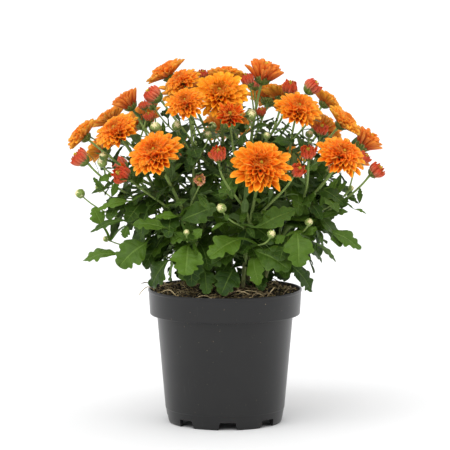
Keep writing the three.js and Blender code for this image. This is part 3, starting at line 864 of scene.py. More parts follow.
class Midrib:
    """A smooth line through a few points, by its length, with the side that the upper face looks to."""

    def __init__(self, points, upper, steps=24):
        ends = [points[0] * 2 - points[1], *points, points[-1] * 2 - points[-2]]
        line = []
        for a, b, c, d in zip(ends, ends[1:], ends[2:], ends[3:]):
            # from b to c, with the slopes of a curve that also passes through a and d
            spans = [math.sqrt(max((q - p).length, 1e-9)) for p, q in ((a, b), (b, c), (c, d))]
            leave = ((b - a) / spans[0] - (c - a) / (spans[0] + spans[1]) + (c - b) / spans[1]) * spans[1]
            arrive = ((c - b) / spans[1] - (d - b) / (spans[1] + spans[2]) + (d - c) / spans[2]) * spans[1]
            for i in range(steps):
                t = i / steps
                line.append(
                    b * (2 * t**3 - 3 * t**2 + 1) + leave * (t**3 - 2 * t**2 + t)
                    + c * (3 * t**2 - 2 * t**3) + arrive * (t**3 - t**2)
                )
        line.append(points[-1].copy())
        self.line, self.upper = np.array(line), np.array(upper.normalized())
        self.far = np.concatenate(([0], np.cumsum(np.linalg.norm(np.diff(self.line, axis=0), axis=1))))

    def at(self, share):
        """The point there, the way out to the left edge, and the way up from the upper face."""
        whole = self.far[-1]
        here, ahead, behind = (
            np.array([np.interp(f, self.far, self.line[:, k]) for k in range(3)])
            for f in (share * whole, min((share + 0.01) * whole, whole), max((share - 0.01) * whole, 0))
        )
        heading = (ahead - behind) / np.linalg.norm(ahead - behind)
        up = self.upper - heading * (self.upper @ heading)
        up /= np.linalg.norm(up)
        return here, np.cross(up, heading), up


def closed_blade(name, upper, lower, marks):
    """A thin closed solid between two grids of points. They share the points on their border."""
    rows, columns = len(upper), len(upper[0])
    inner = [(r, c) for r in range(1, rows - 1) for c in range(1, columns - 1)]
    points = [tuple(p) for row in upper for p in row] + [tuple(lower[r][c]) for r, c in inner]
    above = {(r, c): r * columns + c for r in range(rows) for c in range(columns)}
    below = {**above, **{spot: rows * columns + i for i, spot in enumerate(inner)}}
    faces = []
    for r in range(rows - 1):
        for c in range(columns - 1):
            corners = (r, c), (r + 1, c), (r + 1, c + 1), (r, c + 1)
            faces.append([above[spot] for spot in corners])
            faces.append([below[spot] for spot in corners[:1] + corners[:0:-1]])
    values = {
        mark: [v for row in grid for v in row] + [grid[r][c] for r, c in inner]
        for mark, grid in marks.items()
    }
    inside = set(inner)
    values["upper"] = [1.0 if spot in inside else 0.5 for spot in above] + [0.0] * len(inner)
    return mesh_object(name, points, faces, values, sharp_above=75)


def leaf_blade(name, base, heel, tip, look, wide, edge=LEAF_EDGE, columns=6, wave=1.0, seed=0, unit=MM):
    """One leaf whose stalk runs from base to heel, and whose upper face looks that way. Lengths are in the
    unit given."""
    stalk_width = STALK_WIDTH if unit == MM else SMALL_STALK_WIDTH
    elbow = base.lerp(heel, 0.55) + Vector((0, 0, 0.08 * (heel - base).length))
    crest = heel.lerp(tip, 0.5) + look.normalized() * LEAF_ARCH * (tip - heel).length
    rib = Midrib([base, elbow, heel, crest, tip], look)
    stalk_share = 1 - Midrib([heel, crest, tip], look).far[-1] / rib.far[-1]
    # the stalk is rows like those of the blade, from -1 at its foot to the heel at 0
    stalk = [
        (-1 + 0.16 * k, -1 + 0.16 * k, stalk_width / wide * (1.25 - 0.04 * k), 0) for k in range(STALK_STEPS)
    ]
    rows = stalk + list(edge)
    levels = [(c / columns) ** 0.9 for c in range(columns + 1)]
    sides = [-q for q in reversed(levels[1:])] + levels
    upper, lower = [], []
    for foot, end, out, vein in rows:
        tops, bottoms = [], []
        on_blade = 0.0 if foot < 0 else min(1.0, 0.3 + foot * 6)
        for q in sides:
            along = foot + (end - foot) * abs(q) ** 1.2
            share = stalk_share * (1 + along) if along < 0 else stalk_share + (1 - stalk_share) * along
            here, left, up = rib.at(min(1.0, share))
            y = out * q * wide / 2
            side = 1 if q > 0 else -1
            ripple = math.sin(11 * along + 2.1 * seed + 1.7 * side) + 0.6 * math.sin(23 * along + seed * side)
            puff = math.sin(math.pi * min(1.0, abs(q) * 1.1))  # between the veins
            # over the midrib, and weaker towards the tip
            channel = math.exp(-((y / (CHANNEL_WIDTH * wide)) ** 2)) * (1 - 0.8 * max(0.0, along))
            lift = FOLD * abs(y) - DROOP * y * y / wide
            lift += on_blade * wide * (
                wave * RIPPLE * q * q * ripple + PUFF * (1 - vein) * puff - CHANNEL * channel
            )
            if foot < 0:
                thick = STALK_THICKNESS * math.sqrt(max(0.0, 1 - q * q))
            else:
                thick = (BLADE_THICKNESS + MIDRIB_THICKNESS * channel) * (1 - q**4)
            point = here + left * y + up * lift
            tops.append(point * unit)
            bottoms.append((point - up * thick * (wide / TRUE_THICKNESS_WIDTH)) * unit)
        upper.append(tops)
        lower.append(bottoms)
    marks = {
        "along": [[row[0]] * len(sides) for row in rows],
        "across": [[abs(q) for q in sides]] * len(rows),
        "vein": [[float(row[3])] * len(sides) for row in rows],
    }
    return closed_blade(name, upper, lower, marks)


# The large leaves of the model: stem, head whose shoot it is on, how far along that, then heel, tip, the way
# the upper face looks, the width, and the tint.
LEAVES = [
    (2, 0, 0.34, (-28, -62, 146), (-30, -76, 125), (0.05, -0.9, 0.45), 26, 0.78),
    (2, 0, 0.22, (-43, -40, 132), (-57, -29, 110), (-0.4, -0.75, 0.5), 21, 0.2),
    (4, 4, 0.4, (-60, -48, 147), (-81, -56, 129), (-0.2, -0.85, 0.5), 26, 0.5),
    (4, 6, 0.77, (-82, -38, 137), (-109, -36, 131), (-0.1, -0.45, 0.9), 17, 0.75),
    (1, 5, 0.53, (13, -60, 151), (-12, -78, 139), (-0.1, -0.7, 0.7), 23, 0.72),
    (1, 0, 0.41, (23, -58, 142), (49, -68, 128), (0.1, -0.8, 0.6), 24, 0.35),
    (3, 5, 0.66, (55, -60, 156), (56, -73, 131), (0.1, -0.9, 0.4), 24, 0.64),
    (3, 0, 0.24, (50, -38, 128), (67, -30, 107), (0.45, -0.7, 0.5), 17, 0.12),
    (3, 3, 0.4, (79, -42, 155), (104, -44, 141), (0.1, -0.6, 0.75), 16, 0.6),
    (7, 4, 0.26, (-36, 58, 146), (-48, 78, 126), (-0.3, 0.75, 0.6), 28, 0.6),
    (8, 6, 0.32, (22, 62, 146), (26, 84, 126), (0.1, 0.8, 0.6), 28, 0.5),
]

blade = Finish("lobed_green_leaf", Roughness=0.5, Specular_IOR_Level=0.17)
place = blade.object_place()
tint, top_side = blade.mark("tint"), blade.mark("upper").step(0.3, 0.5)
across = blade.mark("across")
midline = 1 - across.step(0.015, 0.1)
side_veins = blade.mark("vein").step(0.75, 0.98) * (1 - across.step(0.6, 0.95))
veins = (midline * 0.9 + side_veins * 0.45).clamped()
mottle = blade.noise(place, 190.0, 3.0, 0.6)
cells = blade.noise(place, 1500.0, 2.0, 0.6)
# A low tint darkens the leaf: partly older leaves, partly painted shade on the leaves low down and deep in
# the plant.
face = blade.layered(
    blade.mixed(tint, (0.009, 0.030, 0.003), (0.079, 0.157, 0.010)),
    (mottle.step(0.35, 0.7) * tint.between(0.15, 0.5), (0.085, 0.165, 0.013)),
    (cells.step(0.45, 0.8) * 0.2, (0.12, 0.21, 0.03)),
    (across.step(0.85, 1.0) * 0.25, (0.13, 0.22, 0.03)),
    (veins * 0.45, (0.19, 0.30, 0.06)),
)
back = blade.mixed(mottle, (0.080, 0.135, 0.035), (0.120, 0.185, 0.055))
back = blade.mixed(veins * 0.6, back, (0.2, 0.28, 0.11))
blade.feed(
    Base_Color=blade.mixed(top_side, back, face),
    Roughness=(top_side.between(0.75, 0.44) + (cells - 0.5) * 0.15).clamped(),
)
blade.bump(cells * 0.3 + mottle * 0.8 - (midline + side_veins) * 0.35 * top_side, 0.0009, 0.7)


def leaf_on(name, shoot, along, radius, heel, tip, look, wide, tint, seed, *nodes, columns=6):
    """A leaf whose stalk leaves the shoot there. Its tint goes from 0, dark, to 1, fresh green; a low tint is
    partly an older leaf and partly painted shade.
    """
    node, heading = shoot.at(along), shoot.heading(along)
    heel, tip = Vector(heel), Vector(tip)
    away = heel - node
    sideways = (away - heading * away.dot(heading)).normalized()
    base = node + sideways * radius * 0.7
    made = tinted(leaf_blade(name, base, heel, tip, Vector(look), wide, columns=columns, seed=seed), tint)
    made.data.materials.append(blade.material)
    hand_over(made, "leaf", *nodes)


for number, (stem, head, along, *leaf) in enumerate(LEAVES, start=1):
    radius = LEADER_RADII[1] if head == 0 else SHOOT_RADII[1]
    shoot, node = shoot_lines[stem - 1][head], f"leaf_{number:02}"
    leaf_on(f"{node}_blade", shoot, along, radius, *leaf, number, node)

# Leaves between the large ones: heel, tip, the way the upper face looks, and the width. Each leaves whichever
# shoot passes nearest.
SIDE_LEAVES = [
    ((-94, -34, 158), (-101, -34, 172), (-0.3, -0.8, 0.5), 13),
    ((-75, -45, 164), (-103, -45, 154), (-0.2, -0.6, 0.8), 8),
    ((-71, -40, 178), (-97, -40, 171), (0.0, -0.6, 0.8), 10),
    ((-44, -62, 159), (-70, -62, 162), (0.1, -0.6, 0.8), 14),
    ((-74, -55, 160), (-77, -55, 151), (0.0, -0.8, 0.5), 8),
    ((-35, -58, 168), (-53, -58, 167), (0.0, -0.7, 0.7), 8),
    ((-33, -60, 164), (-7, -60, 176), (0.1, -0.9, 0.4), 18),
    ((-17, -65, 159), (-24, -65, 152), (0.0, -0.8, 0.6), 9),
    ((-29, -60, 155), (-41, -60, 148), (-0.2, -0.7, 0.6), 11),
    ((8, -62, 140), (-10, -68, 132), (0.0, -0.7, 0.7), 15),
    ((-16, -46, 128), (-14, -57, 108), (0.1, -0.9, 0.3), 15),
    ((7, -46, 127), (-3, -60, 108), (0.0, -0.9, 0.4), 21),
    ((23, -62, 160), (53, -62, 173), (0.1, -0.9, 0.4), 17),
    ((46, -60, 153), (38, -60, 148), (0.1, -0.8, 0.5), 8),
    ((26, -42, 123), (28, -52, 110), (0.1, -0.9, 0.4), 12),
    ((60, -50, 153), (70, -50, 158), (0.3, -0.7, 0.6), 8),
    ((67, -45, 147), (85, -45, 131), (0.3, 0.6, 0.7), 7),
    ((71, -45, 165), (94, -45, 170), (0.2, -0.6, 0.8), 9),
    ((99, -25, 170), (109, -25, 166), (0.2, -0.5, 0.9), 4),
    ((103, -25, 174), (104, -25, 186), (0.2, -0.9, 0.2), 5),
    ((65, -30, 167), (47, -30, 184), (0.1, -0.8, 0.6), 13),
    ((62, -35, 161), (54, -35, 175), (0.0, -0.9, 0.4), 11),
    ((89, -30, 171), (94, -30, 179), (0.2, -0.8, 0.4), 7),
    ((75, -30, 181), (76, -30, 193), (0.1, -0.9, 0.3), 6),
    ((40, 12, 127), (49, 16, 109), (0.1, -0.9, 0.3), 16),
    ((30, 8, 128), (35, 12, 109), (0.0, -0.9, 0.3), 14),
    ((52, 2, 129), (58, 4, 112), (0.2, -0.9, 0.3), 10),
    ((-30, 14, 127), (-36, 18, 110), (0.0, -0.9, 0.3), 14),
    ((71, -34, 172), (86, -34, 194), (0.2, -0.8, 0.4), 8),
    ((80, -32, 178), (93, -32, 191), (0.2, -0.7, 0.6), 6),
    ((89, -30, 199), (83, -30, 180), (0.1, -0.9, 0.2), 6),
    ((-96, -34, 192), (-86, -34, 198), (0.1, -0.8, 0.5), 6),
    ((-93, -34, 185), (-101, -34, 195), (-0.2, -0.8, 0.4), 5),
    ((-87, -36, 180), (-82, -36, 193), (0.1, -0.9, 0.3), 6),
    ((-9, 8, 150), (-14, 8, 124), (0.1, -0.9, 0.3), 15),
    ((10, 12, 144), (12, 12, 121), (0.0, -0.9, 0.3), 14),
    ((40, 14, 133), (44, 14, 110), (0.1, -0.9, 0.3), 14),
]


def nearest_shoot(heel):
    """The shoot that passes nearest to a leaf's heel, and how far along. A spot that is over 6 mm higher than
    the heel counts as 8 mm further away."""
    spots = [(line, i / 40) for shoots in shoot_lines for line in shoots for i in range(4, 39)]

    def away(spot):
        place = spot[0].at(spot[1])
        return (place - heel).length + (8 if place.z > heel.z + 6 else 0)

    return min((spot for spot in spots if spot[0].at(spot[1]).z > SOIL_CROWN), key=away)


# A side leaf's tint falls the lower its tip hangs: partly older leaves, partly painted shade under the
# canopy.
for number, (heel, tip, look, wide) in enumerate(SIDE_LEAVES, start=1):
    shade = float(np.interp(tip[2], (105, 118, 135, 150), (0.1, 0.3, 0.85, 1)))  # darker low down
    tint = (0.6 + 0.35 * math.sin(number * 2.4)) * shade
    leaf_on(
        f"side_leaf_{number:02}", *nearest_shoot(Vector(heel)), SHOOT_RADII[1], heel, tip, look, wide, tint,
        20 + number, columns=4,
    )

# The smaller leaves on every shoot. Their size falls from the soil up, and they turn round the shoot by the
# golden angle, as the leaves of this plant do.
SMALL_LEAF_EDGE = LEAF_EDGE[::2] + LEAF_EDGE[-1:]
SLENDER_LEAF_EDGE = [
    (0.00, 0.00, 0.2, 0), (0.12, 0.16, 0.5, 0), (0.30, 0.36, 0.9, 1), (0.48, 0.56, 1.0, 0),
    (0.66, 0.74, 0.8, 1), (0.85, 0.90, 0.4, 0), (1.00, 1.00, 0.06, 0),
]
# How far the tip drops and the face turns, how wavy and wide the blade is: five broad kinds, three slender.
LEAF_KINDS = [
    (-0.25, 0.0, 1.0, 0.5), (-0.5, 0.25, 1.4, 0.46), (-0.1, -0.2, 0.8, 0.52), (-0.35, -0.3, 1.5, 0.48),
    (-0.6, 0.15, 1.0, 0.5), (-0.15, 0.1, 0.6, 0.24), (-0.4, -0.2, 0.8, 0.27), (0.1, 0.2, 0.6, 0.22),
]
BROAD_KINDS = 5
small_leaves = template_group("leaf_kinds", [
    leaf_blade(
        f"leaf_kind_{number}", Vector((0, 0, 0)), Vector((0.3, 0, 0.07)), Vector((1, 0, 0.07 + drop)),
        Vector((0, turn, 1)), wide, edge=SMALL_LEAF_EDGE if number < BROAD_KINDS else SLENDER_LEAF_EDGE,
        columns=2, wave=wave, seed=number * 1.3, unit=1,
    )
    for number, (drop, turn, wave, wide) in enumerate(LEAF_KINDS)
])
GOLDEN_ANGLE = 2.39996

foliage = Growth(
    "leaves_on_shoots", Spacing="number", Templates="group", Broad_kinds="whole", Slender_kinds="whole",
    Outward="number", Forward="number", Lift="number", Brightness="number", Seed="whole", Material="material",
)
given = foliage.given
path = foliage.add("GeometryNodeMeshToCurve", {}, {"Mesh": given["Geometry"]})
points, tangent, normal = foliage.add(
    "GeometryNodeCurveToPoints", {"mode": "LENGTH"}, {"Curve": path, "Length": given["Spacing"]},
    out=(0, 1, 2),
)
turn = foliage.add("GeometryNodeInputIndex") * GOLDEN_ANGLE + foliage.chance(-0.5, 0.5, given["Seed"])
side = foliage.add(
    "ShaderNodeVectorRotate", {"rotation_type": "AXIS_ANGLE"},
    {"Vector": normal, "Axis": tangent, "Angle": turn},
)
spot = foliage.add("GeometryNodeInputPosition")
outwards = foliage.vector("NORMALIZE", foliage.vector("MULTIPLY", spot, (1.0, 1.0, 0.0)))
heading = foliage.vector("ADD", side, foliage.scaled(outwards, given["Outward"]))
slender = foliage.stored("slender").math("GREATER_THAN", 0.5)
heading = foliage.vector("ADD", heading, foliage.scaled(tangent, given["Forward"] + slender * 0.8))
fall = given["Lift"] * (1 - slender) + foliage.chance(-0.3, 0.3, given["Seed"] + 1)
heading = foliage.vector("ADD", heading, foliage.triple(0.0, 0.0, fall))
look = foliage.triple(
    foliage.chance(-0.35, 0.35, given["Seed"] + 2), foliage.chance(-0.35, 0.35, given["Seed"] + 3), 1.0
)
rotation = foliage.add(
    "FunctionNodeAxesToRotation", {"primary_axis": "X", "secondary_axis": "Z"},
    {"Primary Axis": heading, "Secondary Axis": look},
)
size = foliage.stored("leaf_size") * foliage.chance(0.75, 1.2, given["Seed"] + 4)
pick = foliage.chance(0.0, 0.999, given["Seed"] + 5)
broad = (pick * given["Broad_kinds"]).math("FLOOR") * (1 - slender)
which = broad + ((pick * given["Slender_kinds"]).math("FLOOR") + given["Broad_kinds"]) * slender
leaves = foliage.placed(points, given["Templates"], which, rotation, foliage.triple(size, size, size))
# A layer's brightness scales its leaves' tint: the inner layer's low brightness is partly older leaves,
# partly painted shade deep in the plant.
leaves = foliage.marked(leaves, tint=foliage.chance(0.0, 1.0, given["Seed"] + 6) * given["Brightness"])
foliage.finish(leaves, given["Material"])

PLANT_REACH = 116, 92  # half its width and half its depth
BARE_FOOT = 98  # below this, and a millimetre more for each one out to the side, no small leaf grows
SIZES = (106, 120, 150, 185, 215, 236, 255), (12, 22, 33, 30, 25, 17, 10)  # of leaves, at those heights
ROOM = (106, 125, 150, 175), (0.38, 0.56, 0.9, 1.12)  # how far out leaves reach, at those heights
# The two layers: name, spacing, brightness, the share of a shoot where it starts and ends, its lowest leaf on
# a front stem and on the others, its highest leaf, and how far out it goes.
# The inner layer's low brightness darkens its leaves: partly older leaves, partly painted shade deep in the
# plant.
LEAF_LAYERS = [
    ("leaves", 0.018, 0.9, 0.06, 0.88, 126, 112, 1000, 1.0),
    ("inner_leaves", 0.0085, 0.4, 0.1, 0.86, 138, 116, 250, 0.66),
]
FRONT_STEMS = 3


def outness(spot):
    """0 on the axis of the plant, and 1 on its outline."""
    return math.hypot(spot.x / PLANT_REACH[0], spot.y / PLANT_REACH[1])


def leaf_marks(spots):
    """Length of a leaf and its stalk at each spot, in metres, and whether it is a slender one."""
    sizes, slender = [], []
    for spot in spots:
        out = outness(spot)
        size = min(np.interp(spot.z, *SIZES), max(6.0, 104 * (np.interp(spot.z, *ROOM) - out)))
        # near the top, at the outline and among the front heads only slender leaves grow
        bare = spot.z > 232 or out > 0.84 or (spot.y < -38 and spot.z > 152) or (out > 0.7 and spot.z > 165)
        sizes.append(float(size) * MM * (0.8 if bare else 1.0))
        slender.append(1.0 if bare else 0.0)
    return {"leaf_size": sizes, "slender": slender}


def leafy_stretches(shoots, low, high, bottom, top, inside):
    """The parts of the shoots that stand clear of the soil, with their marks for the leaves."""
    for line in shoots:
        spots = [line.at(low + (high - low) * i / 40) for i in range(41)]
        spots = [p for p in spots if max(bottom, BARE_FOOT + abs(p.x)) < p.z < top and outness(p) < inside]
        if len(spots) > 3:
            yield [p * MM for p in spots], leaf_marks(spots)


for number, shoots in enumerate(shoot_lines, start=1):
    for name, spacing, brightness, low, high, front_bottom, bottom, top, inside in LEAF_LAYERS:
        bottom = front_bottom if number <= FRONT_STEMS else bottom
        leafage = foliage.grow(
            line_host(f"stem_{number:02}_{name}", leafy_stretches(shoots, low, high, bottom, top, inside)),
            Spacing=spacing, Templates=small_leaves, Broad_kinds=BROAD_KINDS,
            Slender_kinds=len(LEAF_KINDS) - BROAD_KINDS, Outward=0.6, Forward=0.3, Lift=-0.3,
            Brightness=brightness, Seed=40 * number + len(name), Material=blade.material,
        )
        hand_over(leafage, "leaf")


# ---- Flower heads -------------------------------------------------------------------------------
# A head is a crowd of strap-shaped florets on a domed green base: long flat ones at the rim, shorter and more
# upright ones inside, then small incurved ones round a little greenish eye. Narrow green bracts cup it below.

THREE, FIVE = (-1, 0, 1), (-1, -0.55, 0, 0.55, 1)  # points across a floret
BENDS = 8  # small bends from one place on its outline to the next


def petal(name, bend, channel, outline, cup=0.0, twist=0.0, thick=0.02, curve=1.4, sides=FIVE):
    """A strap of unit length and width along +X, upper face up, that bends by so many degrees to its tip."""
    upper, lower = [], []
    x = z = before = 0.0
    for place, width in outline:
        for part in range(BENDS):
            middle = before + (place - before) * (part + 0.5) / BENDS
            slope = math.radians(bend) * middle**curve
            x += math.cos(slope) * (place - before) / BENDS
            z += math.sin(slope) * (place - before) / BENDS
        before = place
        slope = math.radians(bend) * place**curve
        up = Vector((-math.sin(slope), 0, math.cos(slope)))
        tops, bottoms = [], []
        for v in sides:
            rise = channel * abs(v) ** 1.6 + cup * abs(v) * place**3 + twist * v * place
            p = Vector((x, v * width / 2, z)) + up * rise * width * 0.3
            tops.append(p)
            bottoms.append(p - up * thick * (1 - 0.5 * abs(v)))
        upper.append(tops)
        lower.append(bottoms)
    marks = {
        "along": [[place] * len(sides) for place, _ in outline],
        "across": [[abs(v) for v in sides]] * len(outline),
    }
    return closed_blade(name, upper, lower, marks)


STRAP = [(0.0, 0.34), (0.3, 0.62), (0.58, 0.93), (0.77, 1.0), (0.92, 0.76), (1.0, 0.3)]
POINTED = [(0.0, 0.34), (0.3, 0.7), (0.56, 1.0), (0.76, 0.88), (0.92, 0.5), (1.0, 0.12)]
QUILL = [(0.0, 0.5), (0.35, 0.75), (0.75, 1.0), (1.0, 0.45)]
BRACT = [(0.0, 0.8), (0.4, 1.0), (0.78, 0.8), (1.0, 0.25)]
florets = template_group("florets", [
    petal("a_rim_0", -10, 0.5, STRAP),
    petal("a_rim_1", 0, 0.7, POINTED, twist=0.2),
    petal("a_rim_2", 8, 0.6, STRAP, twist=-0.2),
    petal("b_body_0", -16, 0.7, STRAP),
    petal("b_body_1", 2, 0.9, STRAP, twist=0.2),
    petal("b_body_2", -26, 0.7, POINTED, twist=-0.2),
    petal("c_heart_0", 4, 1.0, STRAP, cup=0.4, sides=THREE),
    petal("c_heart_1", 18, 1.1, STRAP, cup=0.5, sides=THREE),
    petal("c_heart_2", 34, 1.1, STRAP, cup=0.5, sides=THREE),
    *(petal(f"d_quill_{i}", bend, 1.4, QUILL, thick=0.05, sides=THREE)
      for i, bend in enumerate((44, 64, 28))),
    *(petal(f"e_closed_{i}", bend, channel, POINTED, curve=1.0)
      for i, (bend, channel) in enumerate(((94, 0.6), (106, 0.7), (82, 0.6)))),
])
RAYS, QUILLS, CLOSED = 0, 9, 12  # where each sort starts among the templates, in the order of their names


def add_whorl(
    tree, count, foot, rise, lift, length, width, row=(0.0, 1.0), first=QUILLS, groups=1, variants=3,
    loose=1.0, **marks,
):
    """Florets in a spiral from the rim to the middle: how many, how far out and how high each stands, its
    lift over the horizontal, its length and width, and its row in the head's shading. Each pair is for the
    first and the last floret, in diameters and degrees, and a third number bends the way between them. The
    templates are taken from first on, in groups of three, one group after the other on the way in."""
    given = tree.given
    across, seed = given["Across"], given["Seed"]
    index = tree.add("GeometryNodeInputIndex")
    step = index / float(max(1, count - 1))

    def here(pair):
        return (step ** pair[2] if len(pair) > 2 else step).between(pair[0], pair[1])

    turn = index * GOLDEN_ANGLE + seed * 0.37 + tree.chance(-0.08, 0.08, seed + 1) * loose
    radius = here(foot) * across
    position = tree.triple(radius * turn.math("COSINE"), radius * turn.math("SINE"), here(rise) * across)
    points = tree.add("GeometryNodePoints", {}, {"Count": count, "Position": position})
    raised = here(lift) + given["Cup"] * (1 - step) + tree.chance(-3.5, 3.5, seed + 2) * loose
    rotation = tree.triple(tree.chance(-0.15, 0.15, seed + 3) * loose, -raised * math.radians(1), turn)
    long = here(length) * across * (1 + tree.chance(-0.16, 0.05, seed + 4) * loose)
    wide = here(width) * across * (1 + tree.chance(-0.12, 0.12, seed + 5) * loose)
    group = (step * 0.999 * float(groups)).math("FLOOR") * 3.0 if groups > 1 else 0.0
    which = tree.chance(0.0, variants - 0.001, seed + 6).math("FLOOR") + group + float(first)
    made = tree.placed(points, given["Templates"], which, rotation, tree.triple(long, wide, long))
    return tree.marked(
        made, row=step.between(*row), tint=tree.chance(0.0, 1.0, seed + 7), warmth=given["Warmth"],
        gold=given["Gold"], **marks
    )


def whorl(*sizes, **marks):
    """The sizes and marks of one whorl, as add_whorl takes them."""
    return sizes, marks


def head_tree(name, *whorls):
    """A tree of whorls, with one Set Material for the petals and one for the florets of the eye."""
    tree = Growth(
        name, Across="number", Cup="number", Warmth="number", Gold="number", Seed="whole", Templates="group",
        Petals="material", Eye="material",
    )
    made = [add_whorl(tree, *sizes, **marks) for sizes, marks in whorls]
    joined = tree.add("GeometryNodeJoinGeometry", {}, {"Geometry": made})
    return tree.finish(joined, tree.given["Petals"], eye=tree.given["Eye"])


flower_tree = head_tree(
    "open_flower",
    whorl(124, (0.125, 0.062), (-0.12, 0.02), (3, 68), (0.395, 0.14), (0.117, 0.082), (0.0, 0.85), RAYS, 3),
    whorl(30, (0.078, 0.038), (0.0, 0.045), (60, 80), (0.15, 0.075), (0.064, 0.046), (0.62, 1.0)),
    whorl(20, (0.034, 0.0, 0.6), (0.07, 0.085), (82, 90), (0.06, 0.06), (0.032, 0.032), eye=1.0),
)
half_open_tree = head_tree(
    "half_open_flower",
    whorl(48, (0.18, 0.09), (-0.36, -0.16), (48, 76), (0.61, 0.42), (0.145, 0.09), (0.0, 0.8), RAYS, 2),
    whorl(26, (0.085, 0.06), (-0.12, -0.06), (74, 84), (0.2, 0.13), (0.06, 0.05), (0.85, 1.0)),
    whorl(34, (0.1, 0.0, 0.6), (0.04, 0.1), (80, 90), (0.12, 0.12), (0.055, 0.055), eye=1.0),
)
bud_tree = head_tree(
    "coloured_bud",
    whorl(36, (0.26, 0.17), (-0.44, -0.3), (28, 52), (0.9, 0.74), (0.27, 0.19), (0.3, 0.8), CLOSED),
    whorl(10, (0.15, 0.12), (-0.1, 0.0), (50, 60), (0.36, 0.3), (0.13, 0.11), (0.8, 1.0), CLOSED),
    whorl(34, (0.2, 0.0, 0.5), (0.12, 0.25), (78, 90), (0.18, 0.18), (0.08, 0.08), eye=1.0),
)
opening_tree = head_tree(
    "opening_bud",
    whorl(28, (0.32, 0.25), (-0.36, -0.16), (30, 58), (0.6, 0.42), (0.25, 0.17), (0.3, 0.8), CLOSED),
    whorl(46, (0.26, 0.0, 0.5), (0.06, 0.18), (70, 90), (0.2, 0.18), (0.09, 0.08), eye=1.0),
)

ray = Finish(
    "orange_petal", Roughness=0.55, Specular_IOR_Level=0.22, Subsurface_Weight=0.3,
    Subsurface_Radius=(1.0, 0.45, 0.1), Subsurface_Scale=0.0012,
)
along, across, row = ray.mark("along"), ray.mark("across"), ray.mark("row")
tint, warmth, gold = ray.mark("tint"), ray.mark("warmth"), ray.mark("gold")
top_side = ray.mark("upper").step(0.3, 0.5)
place = ray.object_place()
streak = ray.noise(place, 900.0, 3.0, 0.6)
rim = ((across.step(0.45, 1.0) * 0.6 + along.step(0.8, 1.0) * 0.5) * row.between(1.0, 0.55)).clamped()
outer = (along + (streak - 0.5) * 0.2 - row * 0.4).step(0.22, 0.9)
heart = (row - gold * 0.4).step(0.24, 0.62)
flame = ray.layered(
    ray.mixed(outer, (0.94, 0.095, 0.005), (0.99, 0.27, 0.008)),
    (rim, (1.0, 0.46, 0.05)),
    (heart * (1 - along.step(0.8, 1.0) * 0.4) * 0.85, (0.96, 0.115, 0.008)),
)
ribs = ((across + streak * 0.2) * 10.0).math("SINE").step(0.2, 0.9) * (1 - along.step(0.4, 0.9))
# The undersides' orange is partly their own colour and partly painted light: it is made lighter to stand in
# for light that shines through the petal.
under = ray.layered(
    ray.mixed(along.step(0.1, 0.9), (0.88, 0.18, 0.025), (0.99, 0.37, 0.06)),
    (across.step(0.4, 1.0) * 0.55, (1.0, 0.48, 0.11)),
    (ribs * 0.3, (0.6, 0.11, 0.008)),
    (heart * (1 - along.step(0.7, 1.0) * 0.4) * 0.85, (0.96, 0.115, 0.01)),
)
open_colour = ray.layered(
    ray.mixed(top_side, under, flame),
    (tint * 0.15, (0.95, 0.33, 0.012)),
    (gold * (1 - row * 0.8) * along.step(0.2, 0.7), (1.0, 0.44, 0.016)),
)
shut = warmth.step(0.6, 1.0)  # 0 on a half-open flower, 1 on a bud
young_top = ray.layered(
    ray.mixed(along.step(0.7, 1.0) * (1 - shut * 0.6), (0.78, 0.04, 0.008), (0.98, 0.24, 0.02)),
    ((1 - row.step(0.0, 0.22)) * (1 - shut) * 0.45, flame),
)
# Bud petals from outside: pink at the foot and deep red above. The light pink stripe down the middle is
# partly the petal's own colour and partly painted sheen. The deep red edges are partly its own red and partly
# painted shade between the petals. The tips are dark.
pink = ray.layered(
    ray.mixed(along.step(0.15, 0.45), (0.74, 0.3, 0.15), (0.68, 0.14, 0.06)),
    (along.step(0.4, 0.9), (0.62, 0.06, 0.02)),
    ((1 - across.step(0.0, 0.35)) * (1 - along.step(0.5, 0.9)) * 0.35, (0.82, 0.36, 0.24)),
    (across.step(0.45, 0.9) * 0.8, (0.42, 0.04, 0.02)),
    (along.step(0.85, 1.0) * 0.6, (0.3, 0.015, 0.01)),
)
tawny = ray.layered(
    ray.mixed(along.step(0.1, 0.8), (0.64, 0.075, 0.018), (0.94, 0.26, 0.045)),
    ((1 - across.step(0.1, 0.6)) * (1 - along.step(0.3, 0.9)) * 0.6, (0.55, 0.06, 0.015)),
)
young_under = ray.mixed(warmth.step(0.55, 0.95), tawny, pink)
young = ray.layered(
    ray.mixed(top_side, young_under, young_top),
    (gold.step(0.35, 0.75) * (1 - along.step(0.75, 1.0) * 0.5), (0.95, 0.5, 0.27)),
)
ray.feed(Base_Color=ray.mixed(warmth.step(0.1, 0.5), open_colour, young))
grooves = (across * 14.0).math("SINE") * 0.35 + streak * 0.5
ray.bump(grooves, 0.0004, 0.5)

eye = Finish("greenish_eye", Roughness=0.6, Specular_IOR_Level=0.25)
along = eye.mark("along")
yolk = eye.mixed(along.step(0.4, 1.0), (0.38, 0.4, 0.03), (0.9, 0.68, 0.09))
eye.feed(Base_Color=eye.mixed(eye.mark("tint") * 0.3, yolk, (0.6, 0.3, 0.03)))
eye.bump(eye.noise(eye.object_place(), 2500.0, 2.0), 0.0002, 0.5)

